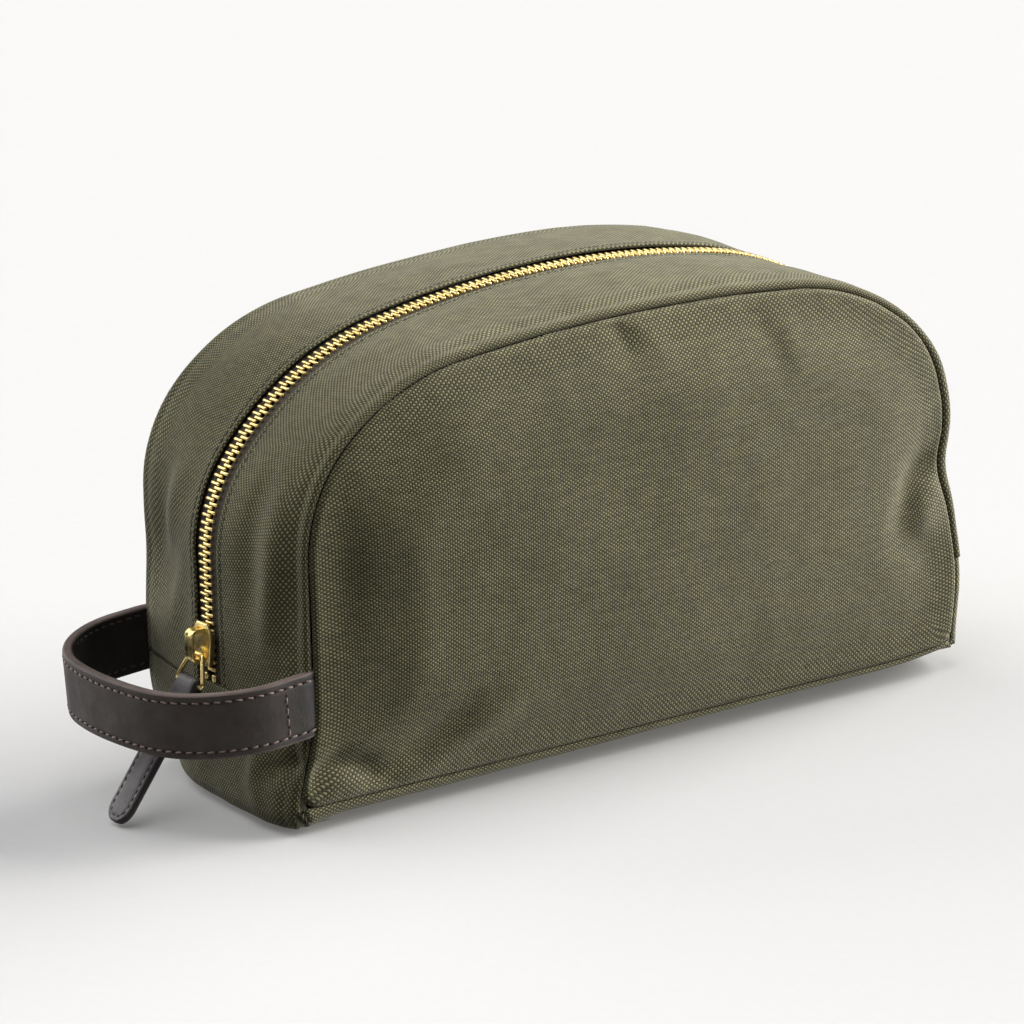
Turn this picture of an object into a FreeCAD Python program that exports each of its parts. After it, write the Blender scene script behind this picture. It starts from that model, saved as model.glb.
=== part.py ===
import FreeCAD, Part
import math
import os

# Canvas wash bag: arch-shaped front and back panels, a gusset split by a brass zip,
# a flat base, lined inside, with a leather loop handle on the left end and a leather zip pull.
# Millimetres. X runs along the bag, +Y to its back, +Z up. The origin is the centre of the base.

V = FreeCAD.Vector

# Bag
PANEL_Y = 49.2            # outer face of the front and back panels
CANVAS = 1.2              # canvas with its coating
LINING = 0.5
SEAM_Z = 9.0              # the panels' lower seam, above the floor
BASE_RIM_Z = 8.7          # top of the base's turned-up edge
BASE_ROUND = 7.5          # radius of the base's lower edges
END_TOP_Z = 40.0          # top edge of the end panels, where the zip stops
GAP = 0.3                 # clearance between pieces that move apart
INNER_Y = PANEL_Y - CANVAS

# Zip
WINDOW = 6.5              # half the gap between the two gusset edges
TAPE_INNER_Y = 1.9
TAPE_OUTER_Y = 12.0
TAPE = 0.8
TAPE_DEPTH = 1.4          # how far the tape lies below the gusset's outer face
TAPE_DROP = 1.45          # extra depth at the tape's outer edge
TOOTH_PITCH = 2.65
TOOTH_LENGTH = 1.5
TOOTH_INNER_Y = 1.2
TOOTH_OUTER_Y = 3.5
TOOTH_TOP = 0.6           # depth of a tooth's outer face below the gusset
TOOTH_BOTTOM = 3.0
STOP_LENGTH = 3.0
FIRST_TOOTH_Z = 45.8

# Slider, at its closed place on the left end
SLIDER_X = -139.9         # inner face of the top plate
SLIDER_LOW_Z = 47.5
SLIDER_HIGH_Z = 62.0
SLIDER_HALF_WIDTH = 4.8
SLIDER_PLATE = 1.3
BAIL_X = -146.6           # outer face of the loop that holds the ring
BAIL_THICK = 1.8
BAIL_HALF_WIDTH = 1.4

# Pull ring and tab
WIRE_R = 0.8
RING_TOP = V(-143.3, 0, 51.7)     # centre of the ring's upper bar, in the loop
RING_FOOT = V(-146.6, 0, 42.3)    # centre of its lower bar, in the leather fold
RING_TOP_HALF = 3.2
RING_FOOT_HALF = 8.0
RING_CORNER_R = 1.2
TAB_LEAN = 37.0                   # degrees from straight down, outward
TAB_LENGTH = 51.2                 # from the lower bar to the tab's tip
TAB_HALF_WIDTH = 6.2
FOLD_HALF_WIDTH = 5.4             # the leather is narrower where it goes round the ring
FOLD_TAPER = 7.0                  # length over which it widens
TAB_THICK = 3.0
FOLD_R = 2.6
BORE_CLEARANCE = 0.05

# Handle
STRAP_HEIGHT = 22.0
STRAP_LAYER = 1.75        # each of the two leather layers
STRAP_LOW_Z = 33.0
STRAP_Y = 49.5            # outer face of the straight ends
STRAP_BEND_X = -143.5     # where the straight ends begin to curve
STRAP_CORNER_R = 36.0
STRAP_APEX_R = 110.0
STRAP_DROOP = 3.7         # degrees that the loop hangs below level
LOOP_START_X = -140.0     # stitch row where the free loop begins


class Outline:
    """An arch: straight sides, then arcs of three radii that meet in smooth joins."""

    def __init__(self, half, shoulder_z, r_low, low_deg, r_mid, mid_deg):
        self.half = half
        self.shoulder_z = shoulder_z
        self.radii = [r_low, r_mid]
        self.turns = [0.0, math.radians(low_deg), math.radians(mid_deg), math.pi / 2]
        rest = half - r_low * (1 - math.cos(self.turns[1]))
        rest -= r_mid * (math.cos(self.turns[1]) - math.cos(self.turns[2]))
        self.radii.append(rest / math.cos(self.turns[2]))

    def arcs(self, depth):
        """Centre, radius and turn range of each arc on the left half, at a depth below the arch."""
        found = []
        x, z = -self.half, self.shoulder_z
        for radius, start, end in zip(self.radii, self.turns, self.turns[1:]):
            cx, cz = x + radius * math.cos(start), z - radius * math.sin(start)
            found.append((cx, cz, radius - depth, start, end))
            x, z = cx - radius * math.cos(end), cz + radius * math.sin(end)
        return found

    def edges(self, y, depth, foot_z):
        """Edges from the left foot over the top to the right foot."""
        def at(arc, turn, side):
            cx, cz, radius = arc[:3]
            return V(side * (cx - radius * math.cos(turn)), y, cz + radius * math.sin(turn))

        arcs = self.arcs(depth)
        left = []
        for arc in arcs:
            start, end = arc[3:]
            left.append([at(arc, turn, 1) for turn in (start, (start + end) / 2, end)])
        edge_x = -self.half + depth
        path = [Part.makeLine(V(edge_x, y, foot_z), V(edge_x, y, self.shoulder_z))]
        path += [Part.Arc(*points).toShape() for points in left]
        for points in reversed(left):
            mirrored = [V(-p.x, p.y, p.z) for p in reversed(points)]
            path.append(Part.Arc(*mirrored).toShape())
        path.append(Part.makeLine(V(-edge_x, y, self.shoulder_z), V(-edge_x, y, foot_z)))
        return path

    def walk(self, depth, start_z, spacing, offset):
        """Points and directions at even spacing along the arch, from the left foot to the right."""
        stretches = [(self.shoulder_z - start_z, None)]
        for arc in self.arcs(depth):
            stretches.append((arc[2] * (arc[4] - arc[3]), arc))
        half_length = sum(length for length, _ in stretches)
        count = int((2 * half_length - offset) / spacing)
        for step in range(count + 1):
            run = offset + step * spacing
            side = 1 if run <= half_length else -1
            left_run = run if side == 1 else 2 * half_length - run
            yield self.place(stretches, depth, start_z, max(left_run, 0.0), side)

    def place(self, stretches, depth, start_z, run, side):
        for length, arc in stretches:
            if run <= length or arc is stretches[-1][1]:
                break
            run -= length
        if arc is None:
            return V(side * (-self.half + depth), 0, start_z + run), V(0, 0, 1), V(-side, 0, 0)
        turn = arc[3] + run / arc[2]
        outward = V(-side * math.cos(turn), 0, math.sin(turn))
        along = V(side * math.sin(turn), 0, math.cos(turn))
        return V(side * arc[0], 0, arc[1]) + outward * arc[2], along, outward


FRONT = Outline(129.5, 90.0, 50.0, 50.0, 80.0, 84.0)
BACK = Outline(131.0, 96.0, 46.0, 52.0, 80.0, 83.0)
CREST = Outline(139.5, 83.0, 53.0, 40.0, 100.0, 79.0)


def wire_of(edges):
    return Part.Wire(Part.__sortEdges__(edges))


def thick_arch(outline, y, depth, thickness, foot_z):
    """Closed profile of an arch-shaped wall with open ends at the foot."""
    outer = outline.edges(y, depth, foot_z)
    inner = outline.edges(y, depth + thickness, foot_z)
    ends = []
    for side in (-1, 1):
        x = side * (outline.half - depth)
        ends.append(Part.makeLine(V(x, y, foot_z), V(x - side * thickness, y, foot_z)))
    return wire_of(outer + inner + ends)


def strip(lower, upper, thickness, foot_z):
    """Wall that runs from one (outline, y, depth) section to another."""
    profiles = [thick_arch(o, y, depth, thickness, foot_z) for o, y, depth in (lower, upper)]
    return Part.makeLoft(profiles, True, True)


def panel(outline, y, depth, thickness, foot_z):
    """Flat arch-shaped panel, from y towards +Y by its thickness."""
    edges = outline.edges(y, depth, foot_z)
    half = outline.half - depth
    edges.append(Part.makeLine(V(half, y, foot_z), V(-half, y, foot_z)))
    return Part.Face(wire_of(edges)).extrude(V(0, thickness, 0))


def box(low, high):
    size = V(*high) - V(*low)
    return Part.makeBox(size.x, size.y, size.z, V(*low))


def prism(points, direction):
    return Part.Face(Part.makePolygon(points + points[:1])).extrude(direction)


def side_pieces(side, outline, foot_gap):
    """Front (side -1) or back (side 1) half of the gusset with its tape, teeth and lining."""
    foot = END_TOP_Z + foot_gap
    gusset = strip((outline, side * INNER_Y, 0), (CREST, side * WINDOW, 0), CANVAS, foot)
    tape = strip((CREST, side * TAPE_OUTER_Y, TAPE_DEPTH + TAPE_DROP),
                 (CREST, side * TAPE_INNER_Y, TAPE_DEPTH), TAPE, foot)
    lining_y = TAPE_OUTER_Y + 1
    lining = strip((outline, side * (INNER_Y - LINING), CANVAS + GAP),
                   (CREST, side * lining_y, CANVAS + 1.9), LINING, foot)
    return gusset, tape, lining


def tooth(side, centre, along, outward, length):
    """U-shaped brass clip that grips the tape's edge, open away from the zip's middle."""
    middle = (TOOTH_TOP + TOOTH_BOTTOM) / 2
    slot_top = 1.3
    slot_bottom = 2.5
    slot_y = TAPE_INNER_Y - 0.1
    profile = [(TOOTH_INNER_Y, TOOTH_TOP), (TOOTH_OUTER_Y, TOOTH_TOP), (TOOTH_OUTER_Y, slot_top),
               (slot_y, slot_top), (slot_y, slot_bottom), (TOOTH_OUTER_Y, slot_bottom),
               (TOOTH_OUTER_Y, TOOTH_BOTTOM), (TOOTH_INNER_Y, TOOTH_BOTTOM)]
    start = centre - along * (length / 2)
    points = [start + outward * (middle - depth) + V(0, side * y, 0) for y, depth in profile]
    return prism(points, along * length)


def teeth(side, offset):
    middle = (TOOTH_TOP + TOOTH_BOTTOM) / 2
    places = CREST.walk(middle, FIRST_TOOTH_Z, TOOTH_PITCH, offset)
    return Part.makeCompound([tooth(side, *place, TOOTH_LENGTH) for place in places])


def top_stop(side):
    middle = (TOOTH_TOP + TOOTH_BOTTOM) / 2
    centre = V(-CREST.half + middle, 0, END_TOP_Z + 1.0 + STOP_LENGTH / 2)
    return tooth(side, centre, V(0, 0, 1), V(-1, 0, 0), STOP_LENGTH)


def bottom_stop():
    """One brass block that holds both rows of teeth at the right end."""
    x = CREST.half
    low_z = END_TOP_Z + 1.3
    block = box((x - TOOTH_BOTTOM, -TOOTH_OUTER_Y, low_z),
                (x - TOOTH_TOP, TOOTH_OUTER_Y, low_z + STOP_LENGTH))
    slot = box((x - 2.5, TAPE_INNER_Y - 0.1, low_z - 1),
               (x - 1.3, TOOTH_OUTER_Y + 1, low_z + STOP_LENGTH + 1))
    return block.cut(slot)


def clear_of_bottom_stop(tape):
    x = CREST.half
    return tape.cut(box((x - 6, -TOOTH_OUTER_Y - GAP, END_TOP_Z - 1),
                        (x + 1, 0, END_TOP_Z + 1.3 + STOP_LENGTH + GAP)))


def base_plan(inset):
    """Plan of the base: its ends are pushed out to the zip's width."""
    corners = [(-FRONT.half, -PANEL_Y), (FRONT.half, -PANEL_Y), (CREST.half, -WINDOW),
               (CREST.half, WINDOW), (BACK.half, PANEL_Y), (-BACK.half, PANEL_Y),
               (-CREST.half, WINDOW), (-CREST.half, -WINDOW)]
    points = [V(x, y, 0) for x, y in corners]
    plan = Part.Face(Part.makePolygon(points + points[:1]))
    if inset:
        plan = plan.makeOffset2D(-inset, join=2)
    return plan


def rounded_block(inset, low_z, high_z, radius):
    plan = base_plan(inset)
    plan.translate(V(0, 0, low_z))
    block = plan.extrude(V(0, 0, high_z - low_z))
    low_edges = [e for e in block.Edges if e.BoundBox.ZMax < low_z + 0.01]
    return block.makeFillet(radius, low_edges)


def base_panel():
    tray = rounded_block(0, 0, BASE_RIM_Z, BASE_ROUND)
    return tray.cut(rounded_block(CANVAS, CANVAS, BASE_RIM_Z + 5, BASE_ROUND - CANVAS))


def lining_base():
    plan = base_plan(CANVAS + BASE_ROUND)
    plan.translate(V(0, 0, CANVAS))
    return plan.extrude(V(0, 0, LINING))


def end_wall(side, depth, thickness, low_z, high_z):
    """Wall across one end of the bag, between the front and back panels."""
    front_y = -INNER_Y + GAP + depth / 4
    back_y = INNER_Y - depth / 4
    outer = [(FRONT.half - depth, front_y), (CREST.half - depth, -WINDOW),
             (CREST.half - depth, WINDOW), (BACK.half - depth, back_y)]
    inner = [(x - thickness, y) for x, y in reversed(outer)]
    points = [V(side * x, y, low_z) for x, y in outer + inner]
    return prism(points, V(0, 0, high_z - low_z))


def slider_body():
    """Two plates joined by a post that runs between the rows of teeth."""
    narrow = SLIDER_HALF_WIDTH - 1.4
    chamfer = 2.5
    outline = [(narrow, SLIDER_LOW_Z), (SLIDER_HALF_WIDTH, SLIDER_HIGH_Z - 5),
               (SLIDER_HALF_WIDTH, SLIDER_HIGH_Z - chamfer), (2.6, SLIDER_HIGH_Z)]
    outline += [(-y, z) for y, z in reversed(outline)]
    top = prism([V(SLIDER_X, y, z) for y, z in outline], V(-SLIDER_PLATE, 0, 0))
    under_x = -CREST.half + TOOTH_BOTTOM + GAP
    under = prism([V(under_x, y, z) for y, z in outline], V(1.0, 0, 0))
    post = box((SLIDER_X, -0.8, SLIDER_HIGH_Z - 5), (under_x, 0.8, SLIDER_HIGH_Z - 1.5))
    return top.fuse([under, post]).removeSplitter()


def slider_bail():
    """Strap bent into a loop on the outside of the slider."""
    plate_x = SLIDER_X - SLIDER_PLATE
    low_z = RING_TOP.z - WIRE_R - GAP - BAIL_THICK
    high_z = SLIDER_HIGH_Z - 1.5
    corner = 2.6

    def bent(inset):
        x = BAIL_X + inset
        z0, z1 = low_z + inset, high_z - inset
        r = corner - inset / 2
        d = r * (1 - math.sqrt(0.5))
        points = [V(plate_x, 0, z0), V(x + r, 0, z0), V(x, 0, z0 + r), V(x, 0, z1 - r),
                  V(x + r, 0, z1), V(plate_x, 0, z1)]
        mids = [V(x + d, 0, z0 + d), V(x + d, 0, z1 - d)]
        edges = [Part.makeLine(points[0], points[1]),
                 Part.Arc(points[1], mids[0], points[2]).toShape(),
                 Part.makeLine(points[2], points[3]),
                 Part.Arc(points[3], mids[1], points[4]).toShape(),
                 Part.makeLine(points[4], points[5]), Part.makeLine(points[5], points[0])]
        return Part.Face(wire_of(edges)).extrude(V(0, 2 * BAIL_HALF_WIDTH, 0))

    loop = bent(0).cut(bent(BAIL_THICK))
    loop.translate(V(0, -BAIL_HALF_WIDTH, 0))
    return loop


def pull_ring():
    """Wire ring: a short upper bar, two splayed legs and a straight lower bar."""
    down = RING_FOOT - RING_TOP
    height = down.Length

    def corner_points(before, at, after):
        """Start, middle and end of the arc that rounds a corner of the ring."""
        to_before = (before - at).normalize()
        to_after = (after - at).normalize()
        half_angle = to_before.getAngle(to_after) / 2
        reach = RING_CORNER_R / math.tan(half_angle)
        bisector = (to_before + to_after).normalize()
        middle = at + bisector * (RING_CORNER_R / math.sin(half_angle) - RING_CORNER_R)
        return at + to_before * reach, middle, at + to_after * reach

    corners = [V(0, -RING_TOP_HALF, 0), V(0, RING_TOP_HALF, 0),
               V(0, RING_FOOT_HALF, -height), V(0, -RING_FOOT_HALF, -height)]
    rounds = []
    for i, at in enumerate(corners):
        rounds.append(corner_points(corners[i - 1], at, corners[(i + 1) % 4]))
    edges = []
    for i, points in enumerate(rounds):
        edges.append(Part.Arc(*points).toShape())
        edges.append(Part.makeLine(points[2], rounds[(i + 1) % 4][0]))
    spine = Part.Wire(edges)
    start, ahead = edges[0].Vertexes[0].Point, edges[0].tangentAt(edges[0].FirstParameter)
    profile = Part.Wire(Part.makeCircle(WIRE_R, start, ahead))
    ring = spine.makePipeShell([profile], True, False)
    lean = math.degrees(math.atan2(RING_TOP.x - RING_FOOT.x, RING_TOP.z - RING_FOOT.z))
    ring.rotate(V(0, 0, 0), V(0, 1, 0), lean)
    ring.translate(RING_TOP)
    return ring


def pull_tab():
    """Leather folded round the ring's lower bar, both layers sewn together, with a round tip."""
    straight = TAB_LENGTH - TAB_HALF_WIDTH
    half_thick = TAB_THICK / 2
    w, fold_w = TAB_HALF_WIDTH, FOLD_HALF_WIDTH
    corners = [V(0, -w, -straight), V(0, -w, -FOLD_TAPER), V(0, -fold_w, 0),
               V(0, fold_w, 0), V(0, w, -FOLD_TAPER), V(0, w, -straight)]
    edges = [Part.makeLine(a, b) for a, b in zip(corners, corners[1:])]
    edges.append(Part.Arc(corners[-1], V(0, 0, -TAB_LENGTH), corners[0]).toShape())
    blade = Part.Face(wire_of(edges)).extrude(V(TAB_THICK, 0, 0))
    blade.translate(V(-half_thick, 0, 0))
    fold = Part.makeCylinder(FOLD_R, 2 * fold_w, V(0, -fold_w, 0), V(0, 1, 0))
    bore = Part.makeCylinder(WIRE_R + BORE_CLEARANCE, 2 * w, V(0, -w, 0), V(0, 1, 0))
    tab = blade.fuse(fold).cut(bore).removeSplitter()
    tab.rotate(V(0, 0, 0), V(0, 1, 0), TAB_LEAN)
    tab.translate(RING_FOOT)
    return tab


def strap_layer(depth):
    """One leather layer of the whole handle, from seam to seam, before it is divided."""
    bend_y = STRAP_Y - STRAP_CORNER_R
    reach = STRAP_APEX_R - STRAP_CORNER_R
    apex_cx = STRAP_BEND_X + math.sqrt(reach ** 2 - bend_y ** 2)
    join = math.atan2(bend_y, apex_cx - STRAP_BEND_X)
    seam_x = -FRONT.half - 0.9

    def path(inset):
        r = STRAP_CORNER_R - inset
        big_r = STRAP_APEX_R - inset
        y = STRAP_Y - inset

        def corner(angle, side):
            return V(STRAP_BEND_X - r * math.cos(angle), side * (bend_y + r * math.sin(angle)), 0)

        def bend(side):
            mid = (join + math.pi / 2) / 2
            return [V(STRAP_BEND_X, side * y, 0), corner(mid, side), corner(join, side)]

        front, back = bend(-1), bend(1)
        apex = V(apex_cx - big_r, 0, 0)
        edges = [Part.makeLine(V(seam_x, -y, 0), front[0]), Part.Arc(*front).toShape(),
                 Part.Arc(front[2], apex, back[2]).toShape(),
                 Part.Arc(*reversed(back)).toShape(), Part.makeLine(back[0], V(seam_x, y, 0))]
        return edges, V(seam_x, -y, 0), V(seam_x, y, 0)

    outer, outer_front, outer_back = path(depth)
    inner, inner_front, inner_back = path(depth + STRAP_LAYER)
    ends = [Part.makeLine(outer_front, inner_front), Part.makeLine(outer_back, inner_back)]
    layer = Part.Face(wire_of(outer + inner + ends)).extrude(V(0, 0, STRAP_HEIGHT))
    layer.translate(V(0, 0, STRAP_LOW_Z))
    pivot = V(seam_x, 0, STRAP_LOW_Z + STRAP_HEIGHT / 2)
    layer.rotate(pivot, V(0, 1, 0), -STRAP_DROOP)
    return layer


def handle_loop(depth):
    """The free loop, beyond the stitch rows at its two ends."""
    return strap_layer(depth).common(box((-300, -80, 0), (LOOP_START_X, 80, 100)))


def handle_end(side, outline, gap):
    """The strap's sewn end, with the tongue that is caught in the panel's seam."""
    both = strap_layer(0).fuse(strap_layer(STRAP_LAYER))
    low_y, high_y = sorted((side * 80, side * 10))
    seam_x = -outline.half
    end = both.common(box((LOOP_START_X + gap, low_y, 0), (seam_x - 0.9, high_y, 100)))
    tongue_y = sorted((side * PANEL_Y, side * INNER_Y))
    tongue = box((seam_x - 2.5, tongue_y[0], STRAP_LOW_Z + 1),
                 (seam_x, tongue_y[1], STRAP_LOW_Z + STRAP_HEIGHT - 1))
    return end.fuse(tongue).removeSplitter()


def build():
    gusset_front, tape_front, lining_gusset_front = side_pieces(-1, FRONT, GAP)
    gusset_back, tape_back, lining_gusset_back = side_pieces(1, BACK, 0.0)
    return {
        "front_panel": panel(FRONT, -PANEL_Y, 0, CANVAS, SEAM_Z),
        "gusset_front": gusset_front,
        "zip_tape_front": clear_of_bottom_stop(tape_front),
        "zip_teeth_front": teeth(-1, 0.0),
        "zip_top_stop_front": top_stop(-1),
        "lining_front": panel(FRONT, -INNER_Y, 2.0, LINING, SEAM_Z + 1),
        "lining_gusset_front": lining_gusset_front,
        "handle_end_front": handle_end(-1, FRONT, GAP),
        "back_panel": panel(BACK, INNER_Y, 0, CANVAS, SEAM_Z),
        "gusset_back": gusset_back,
        "zip_tape_back": tape_back,
        "zip_teeth_back": teeth(1, TOOTH_PITCH / 2),
        "zip_top_stop_back": top_stop(1),
        "zip_bottom_stop": bottom_stop(),
        "lining_back": panel(BACK, INNER_Y - LINING, 2.0, LINING, SEAM_Z + 1),
        "lining_gusset_back": lining_gusset_back,
        "handle_end_back": handle_end(1, BACK, 0.0),
        "handle_outer_strap": handle_loop(0),
        "handle_inner_strap": handle_loop(STRAP_LAYER),
        "base_panel": base_panel(),
        "lining_base": lining_base(),
        "end_panel_left": end_wall(-1, 0, CANVAS, BASE_RIM_Z, END_TOP_Z),
        "end_panel_right": end_wall(1, 0, CANVAS, BASE_RIM_Z, END_TOP_Z),
        "lining_end_left": end_wall(-1, CANVAS + GAP, LINING, SEAM_Z + 1, END_TOP_Z - GAP),
        "lining_end_right": end_wall(1, CANVAS + GAP, LINING, SEAM_Z + 1, END_TOP_Z - GAP),
        "slider_body": slider_body(),
        "slider_bail": slider_bail(),
        "pull_ring": pull_ring(),
        "pull_tab": pull_tab(),
    }


os.makedirs("parts", exist_ok=True)
for name, shape in build().items():
    shape.exportStep("parts/" + name + ".step")
    box_of = shape.BoundBox
    print(name, len(shape.Solids), shape.isValid(), round(shape.Volume, 1),
          [round(v, 1) for v in (box_of.XMin, box_of.YMin, box_of.ZMin,
                                 box_of.XMax, box_of.YMax, box_of.ZMax)])
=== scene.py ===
import math

import bmesh
import bpy
import numpy as np
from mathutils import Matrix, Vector, geometry, kdtree, noise


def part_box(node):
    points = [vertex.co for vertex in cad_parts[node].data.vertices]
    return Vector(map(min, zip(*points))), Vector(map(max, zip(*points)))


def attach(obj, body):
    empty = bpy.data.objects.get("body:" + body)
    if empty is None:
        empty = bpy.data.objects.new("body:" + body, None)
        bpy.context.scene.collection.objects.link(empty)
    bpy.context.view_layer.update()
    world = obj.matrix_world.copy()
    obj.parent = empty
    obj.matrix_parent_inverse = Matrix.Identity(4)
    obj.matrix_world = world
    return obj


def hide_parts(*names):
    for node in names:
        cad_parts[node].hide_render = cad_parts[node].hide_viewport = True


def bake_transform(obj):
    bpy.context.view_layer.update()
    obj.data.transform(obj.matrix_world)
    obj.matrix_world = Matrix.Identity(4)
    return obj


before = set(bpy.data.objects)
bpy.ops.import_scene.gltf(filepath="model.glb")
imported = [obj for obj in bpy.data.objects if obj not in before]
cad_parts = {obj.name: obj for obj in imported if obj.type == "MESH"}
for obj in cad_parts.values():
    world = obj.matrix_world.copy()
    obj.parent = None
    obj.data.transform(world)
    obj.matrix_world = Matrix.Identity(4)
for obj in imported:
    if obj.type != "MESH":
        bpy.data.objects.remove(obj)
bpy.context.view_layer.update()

# A canvas wash bag: every cloth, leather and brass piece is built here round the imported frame.
# Lengths are millimetres until a piece is made; +X runs along the bag, +Y to its back, +Z up.

MM = 0.001


def cad(node):
    """Lowest and highest corners of a CAD node, in millimetres."""
    low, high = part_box(node)
    return np.array(low) / MM, np.array(high) / MM


# Bag
FRONT_HALF = cad("front_panel")[1][0]
BACK_HALF = cad("back_panel")[1][0]
CREST_HALF = cad("zip_bottom_stop")[1][0] + 0.6      # the zip lies this far inside the crest
PANEL_Y = -cad("front_panel")[0][1]
SEAM_Z = cad("front_panel")[0][2]
ZIP_FOOT_Z = cad("end_panel_left")[1][2]
CANVAS = 1.2
FRONT_WINDOW = 7.4          # how far the front gusset's folded edge lies from the zip's middle
BACK_WINDOW = 5.2
BACK_STAND = 0.35           # and how far the back one stands proud
SEAM_BEAD = 1.3             # radius of the front and back panels' rolled edges
SEAM_ROLL = 1.6             # and of the gussets and ends that meet them
SEAM_TURN = math.radians(145)
SEAM_EDGE_Y = PANEL_Y - 1.6
SEAM_STAND = 2.9            # how far the front gusset stands out over its seam
BACK_SEAM_STAND = 1.3
BASE_ROLL = 1.1
FOLD_ROLL = 0.8
BASE_ROUND = 7.5
BACK_DROP = 3.0             # how far the base turns under the back's seam
LINING_THICK = 0.4
SEAM_FADE = 8.0             # where cloth beside a seam is back to its own map
PANEL_TURN = math.radians(150)
CROWN = 1.2                 # how far a gusset or an end stands out in its middle
GROOVE = 0.30               # depth of a row of stitches in cloth
TOPSTITCH_INSET = 2.3
GUSSET_GIVE = 0.25          # share of the front's bend that its gusset takes up at the zip

# Zip
TAPE_DEPTH = 1.7
TAPE_INNER_Y = 1.9
TAPE_OUTER_Y = 12.0
TAPE_THICK = 0.7
TEETH_DEPTH = 1.2
TOOTH_PITCH = 2.65
FIRST_TOOTH_Z = 45.8
STITCH_PITCH = 2.9
CLOTH_THREAD_R = 0.24

# Leather
STRAP_HEIGHT = 22.0
STRAP_THICK = 3.5
STRAP_Y = 49.5
STRAP_BEND_X = -143.5
STRAP_CORNER_R = 36.0
STRAP_APEX_R = 110.0
STRAP_DROOP = math.radians(3.7)
STRAP_LOW_Z = 33.0
CROSS_ROW_X = -141.2
LEATHER_STITCH = 3.6
LEATHER_THREAD_R = 0.32
HOLE_R = 0.42
STITCH_INSET = 2.6
TAB_LEAN = math.radians(37.0)
TAB_LENGTH = 51.2
TAB_HALF_WIDTH = 6.2
FOLD_HALF_WIDTH = 5.4
FOLD_R = 2.6
RING_TOP = np.array([-143.3, 0, 51.7])
RING_FOOT = np.array([-146.6, 0, 42.3])
WIRE_R = 0.8


# ---------------------------------------------------------------- shapes in numbers

def smooth(t):
    t = np.clip(t, 0, 1)
    return t * t * (3 - 2 * t)


def unit(vectors):
    return vectors / np.linalg.norm(vectors, axis=-1, keepdims=True)


def bell(value, centre, width):
    return np.exp(-((value - centre) / width) ** 2)


def roll(distance, radius):
    """How far a cloth drops at a distance from the edge where it turns in."""
    near = np.clip(radius - distance, 0, radius)
    return radius - np.sqrt(radius ** 2 - near ** 2)


def turned(run, radius, sweep):
    """Where a cloth lies near an edge that turns in by an angle: its inset and its depth."""
    left = np.clip(sweep - run / radius, 0, sweep)
    beyond = np.clip(run - sweep * radius, 0, None)
    shift = (sweep - 1) * radius * (1 - smooth(beyond / SEAM_FADE))
    inset = np.where(beyond > 0, run - shift, radius * (1 - np.sin(left)))
    return inset, radius * (1 - np.cos(left))


def graded(length, edge, fine, coarse):
    """Stations across a cloth: close together near both edges, wide apart between them."""
    near = np.arange(0, edge, fine)
    count = int((length - 2 * edge) / coarse) + 2
    return np.concatenate([near, np.linspace(edge, length - edge, count), length - near[::-1]])


def ripple(points, size, seed):
    """Smooth random height from -1 to 1, the same at every run."""
    shift = Vector((seed * 7.3, seed * 3.1, seed * 5.7))
    return np.array([noise.noise(Vector(p) / size + shift) for p in points])


class Arch:
    """Straight sides, then arcs of three radii; a place on it is q, from 0 to 8, a unit a stretch."""

    def __init__(self, half, shoulder_z, r_low, low_deg, r_mid, mid_deg):
        self.half, self.shoulder_z = half, shoulder_z
        turns = [0.0, math.radians(low_deg), math.radians(mid_deg), math.pi / 2]
        rest = half - r_low * (1 - math.cos(turns[1]))
        rest -= r_mid * (math.cos(turns[1]) - math.cos(turns[2]))
        radii = [r_low, r_mid, rest / math.cos(turns[2])]
        self.arcs = []
        x, z = -half, shoulder_z
        for radius, start, end in zip(radii, turns, turns[1:]):
            cx, cz = x + radius * math.cos(start), z - radius * math.sin(start)
            self.arcs.append((cx, cz, radius, start, end))
            x, z = cx - radius * math.cos(end), cz + radius * math.sin(end)
        self.top_z = z

    def at(self, q, foot_z, depth=0.0):
        """Points (x, z) and outward directions (x, z) at places q, at a depth below the arch."""
        q = np.clip(np.asarray(q, float), 0, 8)
        mirror = q > 4
        left = np.where(mirror, 8 - q, q)
        point = np.zeros((len(q), 2))
        out = np.zeros((len(q), 2))
        straight = left <= 1
        point[straight, 0] = -self.half + depth
        point[straight, 1] = foot_z + left[straight] * (self.shoulder_z - foot_z)
        out[straight, 0] = -1
        for k, (cx, cz, radius, start, end) in enumerate(self.arcs, 1):
            on = (left > k) & (left <= k + 1)
            turn = start + (left[on] - k) * (end - start)
            out[on] = np.stack([-np.cos(turn), np.sin(turn)], 1)
            point[on] = np.array([cx, cz]) + out[on] * (radius - depth)
        point[mirror, 0] *= -1
        out[mirror, 0] *= -1
        return point, out

    def lengths(self, foot_z, depth=0.0):
        """Run from the left foot to the end of each stretch."""
        left = [self.shoulder_z - foot_z]
        left += [(radius - depth) * (end - start) for _, _, radius, start, end in self.arcs]
        return np.concatenate([[0], np.cumsum(left + left[::-1])])

    def places(self, runs, foot_z, depth=0.0):
        return np.interp(runs, self.lengths(foot_z, depth), np.arange(9))

    def even(self, spacing, foot_z, depth=0.0):
        """Places at an even spacing from foot to foot."""
        total = self.lengths(foot_z, depth)[-1]
        return self.places(np.linspace(0, total, int(total / spacing) + 1), foot_z, depth)


FRONT = Arch(FRONT_HALF, 90.0, 50.0, 50.0, 80.0, 84.0)
BACK = Arch(BACK_HALF, 96.0, 46.0, 52.0, 80.0, 83.0)
CREST = Arch(CREST_HALF, 83.0, 53.0, 40.0, 100.0, 79.0)

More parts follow.
